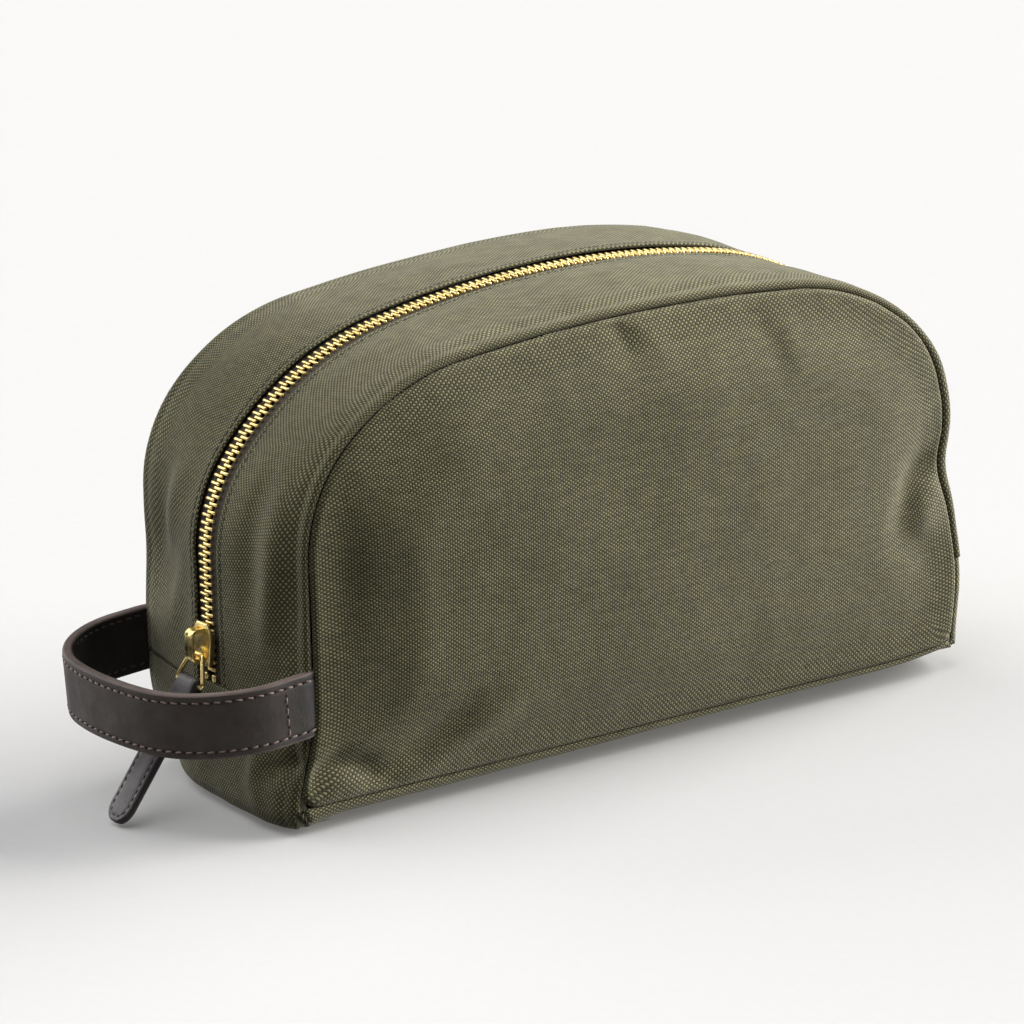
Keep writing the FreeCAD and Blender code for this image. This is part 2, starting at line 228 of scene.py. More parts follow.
# Where the cloth has been pushed out of its sewn shape: centre, reach and shift.
PULLS = [
    ((-131, -47, 9), (24, 19, 19), (-6.2, -0.6, 0.4)),      # front left foot flares
    ((-136, -26, 0), (16, 22, 15), (-3.0, 0.0, 0.0)),       # the end spreads on the floor
    ((127, -48, 74), (20, 15, 11), (-3.0, 1.2, 0.0)),       # right seam is pinched in
    ((132, -44, 98), (12, 20, 16), (-1.3, 0.0, 0.0)),       # and drawn in above the pinch
    ((88, -26, 144), (34, 18, 20), (0.0, 0.0, -2.2)),       # the gusset has sunk beside the zip
    ((131, -46, 34), (22, 26, 20), (3.2, -0.6, 0.0)),       # and bulges below the pinch
    ((133, -46, 3), (17, 18, 10), (1.6, 1.0, 2.6)),         # front right foot is lifted
    ((-133, 47, 5), (17, 17, 15), (5.0, -5.0, 2.6)),        # back feet are rounded
    ((134, 47, 5), (17, 17, 15), (-3.0, -4.0, 2.0)),
    ((100, 44, 126), (34, 34, 36), (-3.0, -1.5, -4.6)),     # back right shoulder has sunk
    ((40, 40, 150), (50, 34, 30), (0.0, 0.0, 0.9)),         # the back stands up in the middle
    ((-122, 34, 126), (24, 26, 22), (0.4, 0.0, -1.2)),      # back left shoulder has sunk
    ((-140, 32, 95), (18, 16, 40), (2.6, 0.0, 0.0)),        # the left end leans in at the back
    ((-140, 30, 74), (14, 15, 11), (2.2, 0.0, 0.0)),        # and is dented
    ((-141, 30, 55), (14, 15, 10), (-1.3, 0.0, 0.0)),
    ((140, -20, 90), (14, 16, 16), (1.6, 0.0, 0.0)),        # the right end bulges
]


def sag(points):
    """The bag's slump, one smooth field for every cloth piece, so that seams stay shut."""
    moved = points.copy()
    for centre, reach, shift in PULLS:
        away = ((points - np.array(centre)) / np.array(reach)) ** 2
        moved += np.exp(-away.sum(1))[:, None] * np.array(shift)
    return moved


# ---------------------------------------------------------------- meshes

def grid_faces(rows, columns, first=0, around=False):
    faces = []
    wide = columns if around else columns - 1
    for r in range(rows - 1):
        for c in range(wide):
            a = first + r * columns + c
            b = first + r * columns + (c + 1) % columns
            faces.append((a, b, b + columns, a + columns))
    return faces


def rod_faces(rows, columns, first=0):
    """Faces of a closed rod: rings of points, and a cap on each end."""
    last = first + (rows - 1) * columns
    caps = [tuple(range(first + columns - 1, first - 1, -1)), tuple(range(last, last + columns))]
    return grid_faces(rows, columns, first, around=True) + caps


def normals_of(points, faces):
    """Unit normal at each point, from the faces round it."""
    total = np.zeros_like(points)
    for size in (3, 4):
        some = np.array([f for f in faces if len(f) == size])
        if len(some):
            first = points[some[:, 2]] - points[some[:, 0]]
            second = points[some[:, -1]] - points[some[:, 1]]
            across = np.cross(first, second)
            for k in range(size):
                np.add.at(total, some[:, k], across)
    return total / np.maximum(np.linalg.norm(total, axis=1), 1e-12)[:, None]


def grid_normals(grid):
    """Unit normals of a grid of points (rows, columns, 3)."""
    across = np.cross(np.gradient(grid, axis=0), np.gradient(grid, axis=1))
    return across / np.maximum(np.linalg.norm(across, axis=2), 1e-12)[..., None]


def thicken(points, faces, thickness):
    """Closes an open cloth into a solid by adding its inner side and rim."""
    count = len(points)
    inner = points - normals_of(points, faces) * thickness
    edges = {}
    for face in faces:
        for a, b in zip(face, face[1:] + face[:1]):
            edges[(a, b)] = edges.get((a, b), 0) + 1
    rim = [(b, a, a + count, b + count) for a, b in edges if (b, a) not in edges]
    back = [tuple(i + count for i in reversed(face)) for face in faces]
    return np.concatenate([points, inner]), faces + back + rim


def linked(name, data):
    made = bpy.data.objects.new(name, data)
    bpy.context.collection.objects.link(made)
    return made


def finished(name, shape, mesh=None, materials=()):
    """An object from an edited shape, in a mesh of its own unless one is given."""
    mesh = mesh or bpy.data.meshes.new(name)
    shape.to_mesh(mesh)
    shape.free()
    for material in materials:
        mesh.materials.append(material)
    mesh.shade_smooth()
    return linked(name, mesh)


def piece(name, points, faces, materials, flat=None, chosen=None):
    """A mesh object in metres; flat is its cloth map in millimetres, chosen its material indexes."""
    mesh = bpy.data.meshes.new(name)
    mesh.from_pydata((points * MM).tolist(), [], [tuple(int(i) for i in f) for f in faces])
    for material in materials:
        mesh.materials.append(material)
    if chosen is not None:
        mesh.polygons.foreach_set("material_index", np.asarray(chosen, np.int32))
    if flat is not None:
        corner = np.zeros(len(mesh.loops), np.int32)
        mesh.loops.foreach_get("vertex_index", corner)
        layer = mesh.uv_layers.new(name="cloth")
        layer.data.foreach_set("uv", flat[corner].astype(np.float32).ravel())
    shape = bmesh.new()
    shape.from_mesh(mesh)
    bmesh.ops.recalc_face_normals(shape, faces=shape.faces)
    return finished(name, shape, mesh)


def cloth(name, points, faces, flat, material, thickness=CANVAS, outside=None):
    """A cloth piece: turned outward, slumped with the bag and given its thickness."""
    if outside is not None and normals_of(points, faces).dot(outside).mean() < 0:
        faces = [tuple(reversed(face)) for face in faces]
    points, faces = thicken(sag(points), faces, thickness)
    return piece(name, points, faces, [material], np.concatenate([flat, flat]))


def sheet(name, grid, flat, material, thickness=CANVAS, outside=(0, 0, 1)):
    """A cloth piece from a grid of points and its cloth map."""
    return cloth(name, grid.reshape(-1, 3), grid_faces(*grid.shape[:2]), flat.reshape(-1, 2), material,
                 thickness, outside)


def settle(made, body, slot, *nodes):
    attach(made, body)
    if nodes:
        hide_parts(*nodes)


def flex(made, slot, *nodes, give=0.0):
    """Bakes a front piece's place into its mesh and hides its CAD nodes; nothing bends it. The share that
    the cloth gives, give, is not used."""
    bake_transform(made)
    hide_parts(*nodes)


def hang(made, side, slot, *nodes):
    """A piece beside the zip: the front ones are baked in place like their gusset, the back ones stay put.
    """
    if side < 0:
        flex(made, slot, *nodes, give=GUSSET_GIVE)
    else:
        settle(made, "bag", slot, *nodes)


# ---------------------------------------------------------------- materials

class Finish:
    """A procedural material: one Principled shader with nodes on its colour, roughness and normal."""

    def __init__(self, name):
        self.material = bpy.data.materials.new(name)
        self.material.use_nodes = True
        self.nodes = self.material.node_tree.nodes
        self.links = self.material.node_tree.links
        self.shader = self.nodes["Principled BSDF"]

    def feed(self, socket, value):
        if isinstance(value, bpy.types.NodeSocket):
            self.links.new(value, socket)
        elif value is not None:
            socket.default_value = value

    def math(self, operation, a, b=None):
        node = self.nodes.new("ShaderNodeMath")
        node.operation = operation
        self.feed(node.inputs[0], a)
        self.feed(node.inputs[1], b)
        return node.outputs[0]

    def times(self, a, b):
        return self.math("MULTIPLY", a, b)

    def plus(self, a, b):
        return self.math("ADD", a, b)

    def cloth_map(self):
        node = self.nodes.new("ShaderNodeUVMap")
        node.uv_map = "cloth"
        return self.split(node.outputs[0])

    def split(self, vector):
        node = self.nodes.new("ShaderNodeSeparateXYZ")
        self.feed(node.inputs[0], vector)
        return node.outputs

    def place(self):
        return self.nodes.new("ShaderNodeTexCoord").outputs["Object"]

    def stretch(self, vector, scale):
        node = self.nodes.new("ShaderNodeMapping")
        node.inputs["Scale"].default_value = scale
        self.feed(node.inputs["Vector"], vector)
        return node.outputs[0]

    def noise(self, vector, size, detail=2.0, rough=0.5):
        """Noise whose blotches are about size metres across."""
        node = self.nodes.new("ShaderNodeTexNoise")
        node.inputs["Scale"].default_value = 1 / size
        node.inputs["Detail"].default_value = detail
        node.inputs["Roughness"].default_value = rough
        self.feed(node.inputs["Vector"], vector)
        return node.outputs["Fac"]

    def cells(self, vector, size):
        node = self.nodes.new("ShaderNodeTexVoronoi")
        node.feature = "DISTANCE_TO_EDGE"
        node.inputs["Scale"].default_value = 1 / size
        self.feed(node.inputs["Vector"], vector)
        return node.outputs["Distance"]

    def span(self, value, low, high, out_low=0.0, out_high=1.0):
        node = self.nodes.new("ShaderNodeMapRange")
        for socket, number in zip(list(node.inputs)[1:5], (low, high, out_low, out_high)):
            socket.default_value = number
        self.feed(node.inputs[0], value)
        return node.outputs[0]

    def mix(self, amount, a, b):
        node = self.nodes.new("ShaderNodeMix")
        node.data_type = "RGBA"
        self.feed(node.inputs["Factor"], amount)
        for socket, colour in ((node.inputs[6], a), (node.inputs[7], b)):
            self.feed(socket, (*colour, 1) if isinstance(colour, tuple) else colour)
        return node.outputs[2]

    def tint(self, colour, factor):
        """Colour times a number."""
        node = self.nodes.new("ShaderNodeVectorMath")
        node.operation = "SCALE"
        self.feed(node.inputs[0], colour)
        self.feed(node.inputs["Scale"], factor)
        return node.outputs[0]

    def bump(self, height, depth, below=None):
        """Surface relief of a depth in metres, on top of another relief."""
        node = self.nodes.new("ShaderNodeBump")
        node.inputs["Strength"].default_value = 1.0
        node.inputs["Distance"].default_value = depth
        self.feed(node.inputs["Height"], height)
        self.feed(node.inputs["Normal"], below)
        return node.outputs[0]

    def finish(self, colour, rough, relief, **constants):
        self.feed(self.shader.inputs["Base Color"], colour)
        self.feed(self.shader.inputs["Roughness"], rough)
        self.feed(self.shader.inputs["Normal"], relief)
        for name, value in constants.items():
            self.shader.inputs[name.replace("_", " ")].default_value = value
        return self.material


def weave(f, wide, high):
    """Plain weave: how proud the thread is, and 1 where the thread on top is the lengthwise one."""
    across, up = f.cloth_map()[:2]
    u, v = f.math("DIVIDE", across, wide), f.math("DIVIDE", up, high)
    arch_u = f.math("SINE", f.times(f.math("FRACT", u), math.pi))
    arch_v = f.math("SINE", f.times(f.math("FRACT", v), math.pi))
    proud = f.math("POWER", f.times(arch_u, arch_v), 0.6)
    cell = f.plus(f.math("FLOOR", u), f.math("FLOOR", v))
    over = f.times(f.math("FRACT", f.times(cell, 0.5)), 2.0)
    return proud, over


def canvas():
    """Coarse two-tone canvas: tan threads over dark green ones."""
    f = Finish("canvas")
    proud, over = weave(f, 0.90, 0.655)
    place = f.place()
    top = f.mix(over, (0.056, 0.060, 0.022), (0.310, 0.278, 0.150))
    # Where the threads dip, the colour falls to near black: painted shade in the gaps between the threads.
    colour = f.mix(proud, (0.014, 0.016, 0.006), top)
    patches = f.span(f.noise(place, 0.045, 3.0), 0.3, 0.7, 0.90, 1.10)
    slubs = f.span(f.noise(f.stretch(place, (0.15, 0.3, 1.0)), 0.0011, 1.0), 0.3, 0.7, 0.82, 1.18)
    colour = f.tint(colour, f.times(patches, slubs))
    lift = f.plus(f.times(proud, 0.75), f.times(over, 0.25))
    relief = f.bump(lift, 0.00016, f.bump(f.noise(place, 0.004, 2.0), 0.00025))
    rough = f.span(proud, 0.0, 1.0, 0.95, 0.72)
    return f.finish(colour, rough, relief, Sheen_Weight=0.12, Sheen_Roughness=0.5,
                    Specular_IOR_Level=0.25)


def lining_cloth():
    f = Finish("lining")
    proud, over = weave(f, 0.35, 0.35)
    place = f.place()
    colour = f.mix(over, (0.070, 0.062, 0.043), (0.105, 0.095, 0.068))
    colour = f.tint(colour, f.span(f.noise(place, 0.03, 3.0), 0.3, 0.7, 0.85, 1.15))
    relief = f.bump(proud, 0.00005, f.bump(f.noise(place, 0.012, 2.0), 0.0006))
    return f.finish(colour, f.span(proud, 0.0, 1.0, 0.75, 0.5), relief, Specular_IOR_Level=0.4)


def zip_cloth():
    """Herringbone tape."""
    f = Finish("zip_tape")
    along, across = f.cloth_map()[:2]
    zigzag = f.math("PINGPONG", across, 1.4)
    twill = f.math("FRACT", f.math("DIVIDE", f.plus(along, zigzag), 0.75))
    proud = f.math("SINE", f.times(twill, math.pi))
    place = f.place()
    # Dark in the twill's grooves and light on its ridges: painted shade across the weave.
    colour = f.mix(proud, (0.020, 0.017, 0.012), (0.105, 0.088, 0.068))
    colour = f.tint(colour, f.span(f.noise(place, 0.006, 3.0), 0.3, 0.7, 0.8, 1.2))
    relief = f.bump(proud, 0.00012)
    return f.finish(colour, f.span(proud, 0.0, 1.0, 0.95, 0.75), relief, Sheen_Weight=0.1,
                    Specular_IOR_Level=0.25)


def leather(name, dark, light, rough, pore_depth, seam_shaded=False):
    """Smooth leather with fine pores, a cloudy colour and rubbed spots, and, when asked, painted shade that
    darkens it towards the bag's seam."""
    f = Finish(name)
    place = f.place()
    clouds = f.span(f.noise(place, 0.014, 4.0, 0.6), 0.35, 0.7)
    colour = f.mix(clouds, dark, light)
    pores = f.span(f.cells(place, 0.0007), 0.0, 0.25)
    colour = f.tint(colour, f.span(pores, 0.0, 1.0, 0.86, 1.0))
    # Painted shade: the leather darkens towards the bag's seam, where the strap's end tucks in.
    if seam_shaded:
        colour = f.tint(colour, f.span(f.split(place)[0], -0.146, -0.132, 1.0, 0.22))
    fibres = f.noise(f.stretch(place, (0.35, 0.35, 1.0)), 0.0004, 3.0, 0.7)
    height = f.plus(f.times(pores, 0.5), fibres)
    relief = f.bump(height, pore_depth, f.bump(f.noise(place, 0.005, 3.0), 0.00022))
    dull = f.span(f.noise(place, 0.009, 3.0), 0.3, 0.7, *rough)
    return f.finish(colour, dull, relief, Specular_IOR_Level=0.4)


def polished_brass(name, dull):
    """Brass with fine scratches, slight tarnish and worn high spots."""
    f = Finish(name)
    place = f.place()
    tarnish = f.span(f.noise(place, 0.0035, 4.0, 0.6), 0.35, 0.75)
    colour = f.mix(tarnish, (0.88, 0.72, 0.33), (0.72, 0.54, 0.20))
    scratches = f.noise(f.stretch(place, (1.0, 1.0, 0.12)), 0.00025, 2.0)
    relief = f.bump(scratches, 0.000012, f.bump(f.noise(place, 0.0016, 2.0), 0.00002))
    rough = f.span(f.plus(tarnish, scratches), 0.3, 1.5, dull, dull + 0.22)
    return f.finish(colour, rough, relief, Metallic=1.0)


def thread(name, dark, light):
    """Twisted sewing thread."""
    f = Finish(name)
    place = f.place()
    twist = f.noise(f.stretch(place, (1.0, 1.0, 0.5)), 0.0003, 2.0, 0.6)
    colour = f.mix(f.span(twist, 0.3, 0.7), dark, light)
    relief = f.bump(twist, 0.00008)
    return f.finish(colour, f.span(twist, 0.3, 0.7, 0.85, 0.6), relief, Sheen_Weight=0.15)


CLOTH = canvas()
LINING = lining_cloth()
TAPE = zip_cloth()
# The handle's face leather, with painted shade towards the bag's seam.
STRAP_FACE = leather("handle_leather", (0.022, 0.016, 0.013), (0.046, 0.034, 0.029), (0.50, 0.70),
                     0.00006, seam_shaded=True)
# The strap's inner face: a darker copy of the handle leather, painted shade on the side that faces the bag.
STRAP_INNER_SHADE = leather("handle_inner_shade", (0.004, 0.003, 0.003), (0.011, 0.008, 0.007), (0.62, 0.80), 0.00006)
STRAP_EDGE = leather("leather_edge", (0.085, 0.062, 0.055), (0.150, 0.115, 0.104), (0.55, 0.8), 0.00004)
TAB_FACE = leather("tab_leather", (0.050, 0.043, 0.046), (0.080, 0.070, 0.074), (0.40, 0.58), 0.00006)
TAB_EDGE = leather("tab_edge", (0.013, 0.011, 0.010), (0.024, 0.020, 0.019), (0.5, 0.7), 0.00004)
BRASS = polished_brass("brass", 0.22)
TEETH_BRASS = polished_brass("teeth_brass", 0.28)
# Dark beads for the handle's needle holes: painted shade.
HOLE_SHADE = leather("needle_holes", (0.003, 0.002, 0.002), (0.006, 0.005, 0.004), (0.85, 0.95), 0.00002)
DARK_THREAD = thread("dark_thread", (0.020, 0.015, 0.014), (0.050, 0.038, 0.034))
GREEN_THREAD = thread("green_thread", (0.012, 0.013, 0.007), (0.045, 0.045, 0.025))
BROWN_THREAD = thread("brown_thread", (0.13, 0.085, 0.075), (0.36, 0.26, 0.235))


# ---------------------------------------------------------------- cloth panels

def fold_line(x, z, line, width):
    """1 on a bent line over a flat panel, fading to 0 away from it and at its two ends."""
    best = np.zeros_like(x)
    line = np.array(line, float)
    steps = np.hypot(*np.diff(line, axis=0).T)
    total, before = steps.sum(), 0.0
    for (x0, z0), (x1, z1), step in zip(line, line[1:], steps):
        t = np.clip(((x - x0) * (x1 - x0) + (z - z0) * (z1 - z0)) / step ** 2, 0, 1)
        away = np.hypot(x - x0 - t * (x1 - x0), z - z0 - t * (z1 - z0))
        fade = np.sin(np.pi * np.clip((before + t * step) / total, 0.04, 0.96)) ** 0.7
        best = np.maximum(best, np.exp(-(away / width) ** 2) * fade)
        before += step
    return best


def folded(x, z, folds):
    """The height that a list of folds gives a flat panel."""
    return sum(height * fold_line(x, z, line, width) for height, width, line in folds)


def panel_ring(arch, inset, corner=5.0):
    """One line round an arch-shaped panel at an inset, and its outward directions."""
    foot = SEAM_Z + inset
    q = arch.even(1.7 + inset * 0.12, foot + corner, inset)
    side, side_out = arch.at(q, foot + corner, inset)
    half = arch.half - inset
    turn = np.linspace(0, math.pi / 2, 6)[1:]
    right_out = np.stack([np.cos(turn), -np.sin(turn)], 1)
    right = np.array([half - corner, foot + corner]) + corner * right_out
    middle = np.linspace(half - corner, corner - half, int(2 * half / 1.9))[1:-1]
    bottom = np.stack([middle, np.full(len(middle), foot)], 1)
    flip = np.array([-1, 1])
    line = np.concatenate([side, right, bottom, right[::-1] * flip])
    out = np.concatenate([side_out, right_out, np.tile([0.0, -1.0], (len(bottom), 1)),
                          right_out[::-1] * flip])
    return line, out


def nearest(line):
    """A search tree over the points of a flat line."""
    tree = kdtree.KDTree(len(line))
    for i, point in enumerate(line):
        tree.insert((*point, 0), i)
    tree.balance()
    return tree


def flat_panel(arch, spacing=2.3):
    """Points and faces of an arch-shaped panel in its own plane, finest along its edge, and each
    point's distance and direction to the edge."""
    insets = np.concatenate([np.arange(0, 3.9, 0.35), [4.4, 5.2, 6.3]])
    rings = [panel_ring(arch, inset) for inset in insets]
    border, border_out = rings[0]
    last, last_out = rings[-1]
    tree = nearest(last)
    inside = []
    for row, z in enumerate(np.arange(SEAM_Z, arch.top_z, spacing * 0.87)):
        for x in np.arange(-arch.half, arch.half, spacing) + (row % 2) * spacing / 2:
            index = tree.find((x, z, 0))[1]
            if (last[index] - (x, z)).dot(last_out[index]) > spacing * 0.55:
                inside.append((x, z))
    points = np.concatenate([ring[0] for ring in rings] + [np.array(inside)])
    loop = list(range(len(border)))
    found = geometry.delaunay_2d_cdt([Vector(p) for p in points], [], [loop], 1, 1e-5)
    points = np.array([tuple(p) for p in found[0]])
    faces = [tuple(face) for face in found[2]]
    tree = nearest(border)
    near = [tree.find((*p, 0)) for p in points]
    out = np.array([border_out[index] for _, index, _ in near])
    return points, faces, np.array([away for _, _, away in near]), out


def front_puff(x, z):
    """How far the filled bag pushes the middle of its front panel out."""
    right = 10.5 * (np.clip(x - 10, 0, None) / 118) ** 1.6
    left = 6.0 * (np.clip(-20 - x, 0, None) / 108) ** 2
    up = 5.5 * (np.clip(z - 90, 0, None) / 60) ** 2
    down = (8.0 - 3.5 * smooth((x - 40) / 60)) * (np.clip(90 - z, 0, None) / 81) ** 2
    return np.clip(12.2 - right - left - up - down, 0.6, None)


# Folds in the front panel: its crumpled foot at the left, the dent and bulge at the right. A row
# is a fold's height, width and line.
FRONT_CREASES = [
    (-2.8, 3.4, [(-132, 13), (-127, 20), (-120, 23), (-111, 20), (-103, 13)]),
    (1.3, 4.5, [(-124, 13), (-117, 15), (-108, 12)]),
    (1.6, 5.5, [(-100, 9), (-84, 18), (-68, 25), (-50, 30)]),
    (-1.3, 7.0, [(-98, 19), (-84, 28), (-66, 36)]),
    (-1.5, 8.0, [(-120, 112), (-119, 92), (-120, 70), (-125, 56)]),
    (-2.2, 5.5, [(127, 82), (116, 74), (108, 62), (104, 52)]),
    (1.8, 7.0, [(129, 70), (120, 63), (113, 50)]),
    (-0.9, 6.0, [(122, 40), (113, 48), (106, 56)]),
    (-0.9, 3.2, [(-14, 151), (-8, 148), (-4, 136)]),
    (0.7, 4.5, [(-3, 150), (2, 146), (8, 134)]),
    (-0.6, 4.5, [(44, 143), (52, 132), (54, 122)]),
    (0.5, 4.5, [(56, 143), (61, 132), (62, 120)]),
]


def back_puff(x, z):
    side = 3.5 * (np.abs(x) / 131) ** 2
    up = 3.5 * (np.clip(z - 80, 0, None) / 73) ** 2
    down = 3.5 * (np.clip(80 - z, 0, None) / 71) ** 2
    return 9.5 - side - up - down


# Folds in the back panel.
BACK_CREASES = [
    (-1.4, 4.5, [(128, 18), (119, 23), (106, 14)]),
    (-0.8, 6.5, [(-126, 70), (-114, 66), (-100, 70)]),
    (0.7, 6.0, [(30, 150), (36, 138), (34, 124)]),
]


def panel_surface(side, arch, puff, creases, seed):
    """A filled panel: points, faces, the cloth's own map and each point's distance to the seam."""
    flat, faces, away, edge_out = flat_panel(arch)
    inset, turned_in = turned(away, SEAM_BEAD, PANEL_TURN)
    x, z = (flat + edge_out * (away - inset)[:, None]).T
    reach = 28 + 20 * smooth((-x - 60) / 60)
    filled = 1 - (1 - np.clip((away - 2) / reach, 0, 1)) ** 2
    waves = 0.55 * ripple(np.stack([x, z, 0 * x], 1), 34.0, seed)
    waves += 0.16 * ripple(np.stack([x, z, 0 * x], 1), 11.0, seed + 1)
    edge = smooth((away - 2) / 7)
    out = filled * puff(x, z) + edge * waves + smooth((away - 1.5) / 4) * folded(x, z, creases)
    return np.stack([x, side * (PANEL_Y + out - turned_in), z], 1), faces, flat, away


def panels():
    for side, name, arch, puff, creases, seed in (
            (-1, "front", FRONT, front_puff, FRONT_CREASES, 3),
            (1, "back", BACK, back_puff, BACK_CREASES, 11)):
        points, faces, flat, away = panel_surface(side, arch, puff, creases, seed)
        made = cloth("canvas_" + name, points, faces, flat, CLOTH, outside=(0, side, 0))
        points[:, 1] -= side * (CANVAS + 0.5 + 1.2 * (1 - smooth(away / 6)))
        points[:, 0] *= 1 - 2.2 / arch.half
        inner = cloth("lining_" + name + "_panel", points, faces, flat, LINING, LINING_THICK,
                      (0, side, 0))
        if side < 0:
            flex(made, "canvas", "front_panel")
            flex(inner, "lining", "lining_front")
        else:
            settle(made, "bag", "canvas", "back_panel")
            settle(inner, "bag", "lining", "lining_back")


def outward(grid):
    """Grid normals that point out of the bag."""
    normals = grid_normals(grid)
    turn = np.sign(((grid - np.array([0, 0, 60.0])) * normals).sum(2).mean())
    return normals * turn


def fullness(x, z, from_seam):
    """The right end swells out just behind the front seam."""
    strength = 1.0 + 2.0 * smooth((z - 45) / 40) - 2.6 * smooth((z - 105) / 20)
    return strength * smooth((x - 62) / 45) * bell(from_seam, 11, 8)


def seam_profile(from_seam, stand=SEAM_STAND):
    """A cloth's height beside a seam it overhangs: rolled under, a seam allowance ridge, a shallow
    line of pull, then its full stand."""
    height = -turned(from_seam, SEAM_ROLL, SEAM_TURN)[1] + stand * np.exp(-from_seam / 34)
    height -= GROOVE * bell(from_seam, 6.4, 0.9)
    return height + 0.25 * bell(from_seam, 8.4, 1.6)


def gusset_height(from_seam, from_edge, v, stand, seam_stand):
    """Profile across a gusset: seam, crown, stitch groove, folded edge."""
    height = seam_profile(from_seam, seam_stand) * smooth((1 - v) / 0.35) - roll(from_edge, FOLD_ROLL)
    height += CROWN * 4 * v * (1 - v)
    height += stand * smooth(1 - from_edge / 7)
    height -= GROOVE * bell(from_edge, TOPSTITCH_INSET, 0.55)
    return height


# Soft upright folds where the left end's cloth hangs from the shoulder.
END_CREASES = [
    (2.2, 5.0, [(-36, 112), (-34, 84), (-30, 58)]),
    (-2.0, 5.5, [(-25, 118), (-23, 90), (-22, 62)]),
    (-2.0, 4.0, [(-43, 108), (-43, 80), (-40, 54)]),
    (1.8, 5.5, [(20, 112), (23, 92), (29, 78)]),
    (-2.0, 5.5, [(30, 108), (33, 90), (39, 74)]),
    (1.3, 5.0, [(14, 84), (19, 66), (24, 52)]),
]


# Folds low on the left end.
FOOT_CREASES = [
    (-2.6, 3.6, [(-54, 22), (-43, 23), (-31, 17)]),
    (1.9, 4.0, [(-28, 30), (-26, 15), (-32, 3)]),
]


def gusset_surface(side, arch, window, stand, seed, spacing=1.6):
    """A gusset from the panel's seam to the zip: points, normals, and the cloth's own map."""
    q = CREST.even(spacing, ZIP_FOOT_Z)
    low, _ = arch.at(q, ZIP_FOOT_Z)
    high, _ = CREST.at(q, ZIP_FOOT_Z)
    t = graded(SEAM_EDGE_Y - window + 3, 7.0, 0.36, 2.2)
    v = np.broadcast_to((t / t[-1])[:, None], (len(t), len(q)))
    seam = np.stack([low[:, 0], np.full(len(q), side * SEAM_EDGE_Y), low[:, 1]], 1)
    edge = np.stack([high[:, 0], np.full(len(q), side * window), high[:, 1]], 1)
    length = np.linalg.norm(edge - seam, axis=1)
    from_seam, from_edge = v * length, (1 - v) * length
    inset = turned(from_seam, SEAM_ROLL, SEAM_TURN)[0]
    grid = seam[None] + (edge - seam)[None] * (inset / length)[..., None]
    normals = outward(seam[None] + (edge - seam)[None] * v[..., None])
    x, y, z = np.moveaxis(grid, 2, 0)
    waves = 0.9 * ripple((grid * (1, 1.8, 1)).reshape(-1, 3), 36.0, seed)
    waves += 0.3 * ripple(grid.reshape(-1, 3), 12.0, seed + 1)
    waves += folded(y.ravel(), z.ravel(), END_CREASES) * smooth((-x.ravel() - 95) / 30)
    height = gusset_height(from_seam, from_edge, v, stand, SEAM_STAND if side < 0 else BACK_SEAM_STAND)
    height += fullness(x, z, from_seam) * (side < 0)
    height += waves.reshape(v.shape) * (4 * v * (1 - v)) ** 0.8 * smooth((z - ZIP_FOOT_Z) / 12)
    run = CREST.lengths(ZIP_FOOT_Z)[-1] * np.linspace(0, 1, len(q))
    flat = np.stack([np.broadcast_to(run, v.shape), from_seam], 2)
    return grid + normals * height[..., None], normals, flat, from_edge


GUSSETS = [(-1, "front", FRONT, FRONT_WINDOW, 0.0, 21), (1, "back", BACK, BACK_WINDOW, BACK_STAND, 31)]


def gusset(side, name, arch, window, stand, seed):
    points, normals, flat, _ = gusset_surface(side, arch, window, stand, seed)
    made = sheet("canvas_gusset_" + name, points, flat, CLOTH)
    inner = (points - normals * (CANVAS + 0.6))[8:-12]
    lining = sheet("lining_gusset_" + name + "_cloth", inner, flat[8:-12], LINING, LINING_THICK)
    return made, lining


def gussets():
    for side, name, arch, window, stand, seed in GUSSETS:
        made, lining = gusset(side, name + "_half", arch, window, stand, seed)
        hang(made, side, "canvas", "gusset_" + name)
        hang(lining, side, "lining", "lining_gusset_" + name)


def end_section(y):
    """How far the end stands out at each y: straight runs from the seams to the zip."""
    half = np.where(y < 0, FRONT.half, BACK.half)
    window = np.where(y < 0, FRONT_WINDOW, BACK_WINDOW)
    share = np.clip((SEAM_EDGE_Y - np.abs(y)) / (SEAM_EDGE_Y - window), 0, 1)
    crown = CROWN * 4 * share * (1 - share)
    return half + (CREST.half - half) * share + crown


def end_profile():
    """Height, inset and run down an end's cloth: straight down, round, then under the bag."""
    drop_z = np.linspace(ZIP_FOOT_Z + 1.6, BASE_ROUND, 24)
    turn = np.linspace(0, math.pi / 2, 9)[1:]
    z = np.concatenate([drop_z, BASE_ROUND * (1 - np.sin(turn)), [0.0]])
    depth = np.concatenate([np.zeros(len(drop_z)), BASE_ROUND * (1 - np.cos(turn)), [BASE_ROUND + 2]])
    return z, depth, run_along(z, depth), len(drop_z)


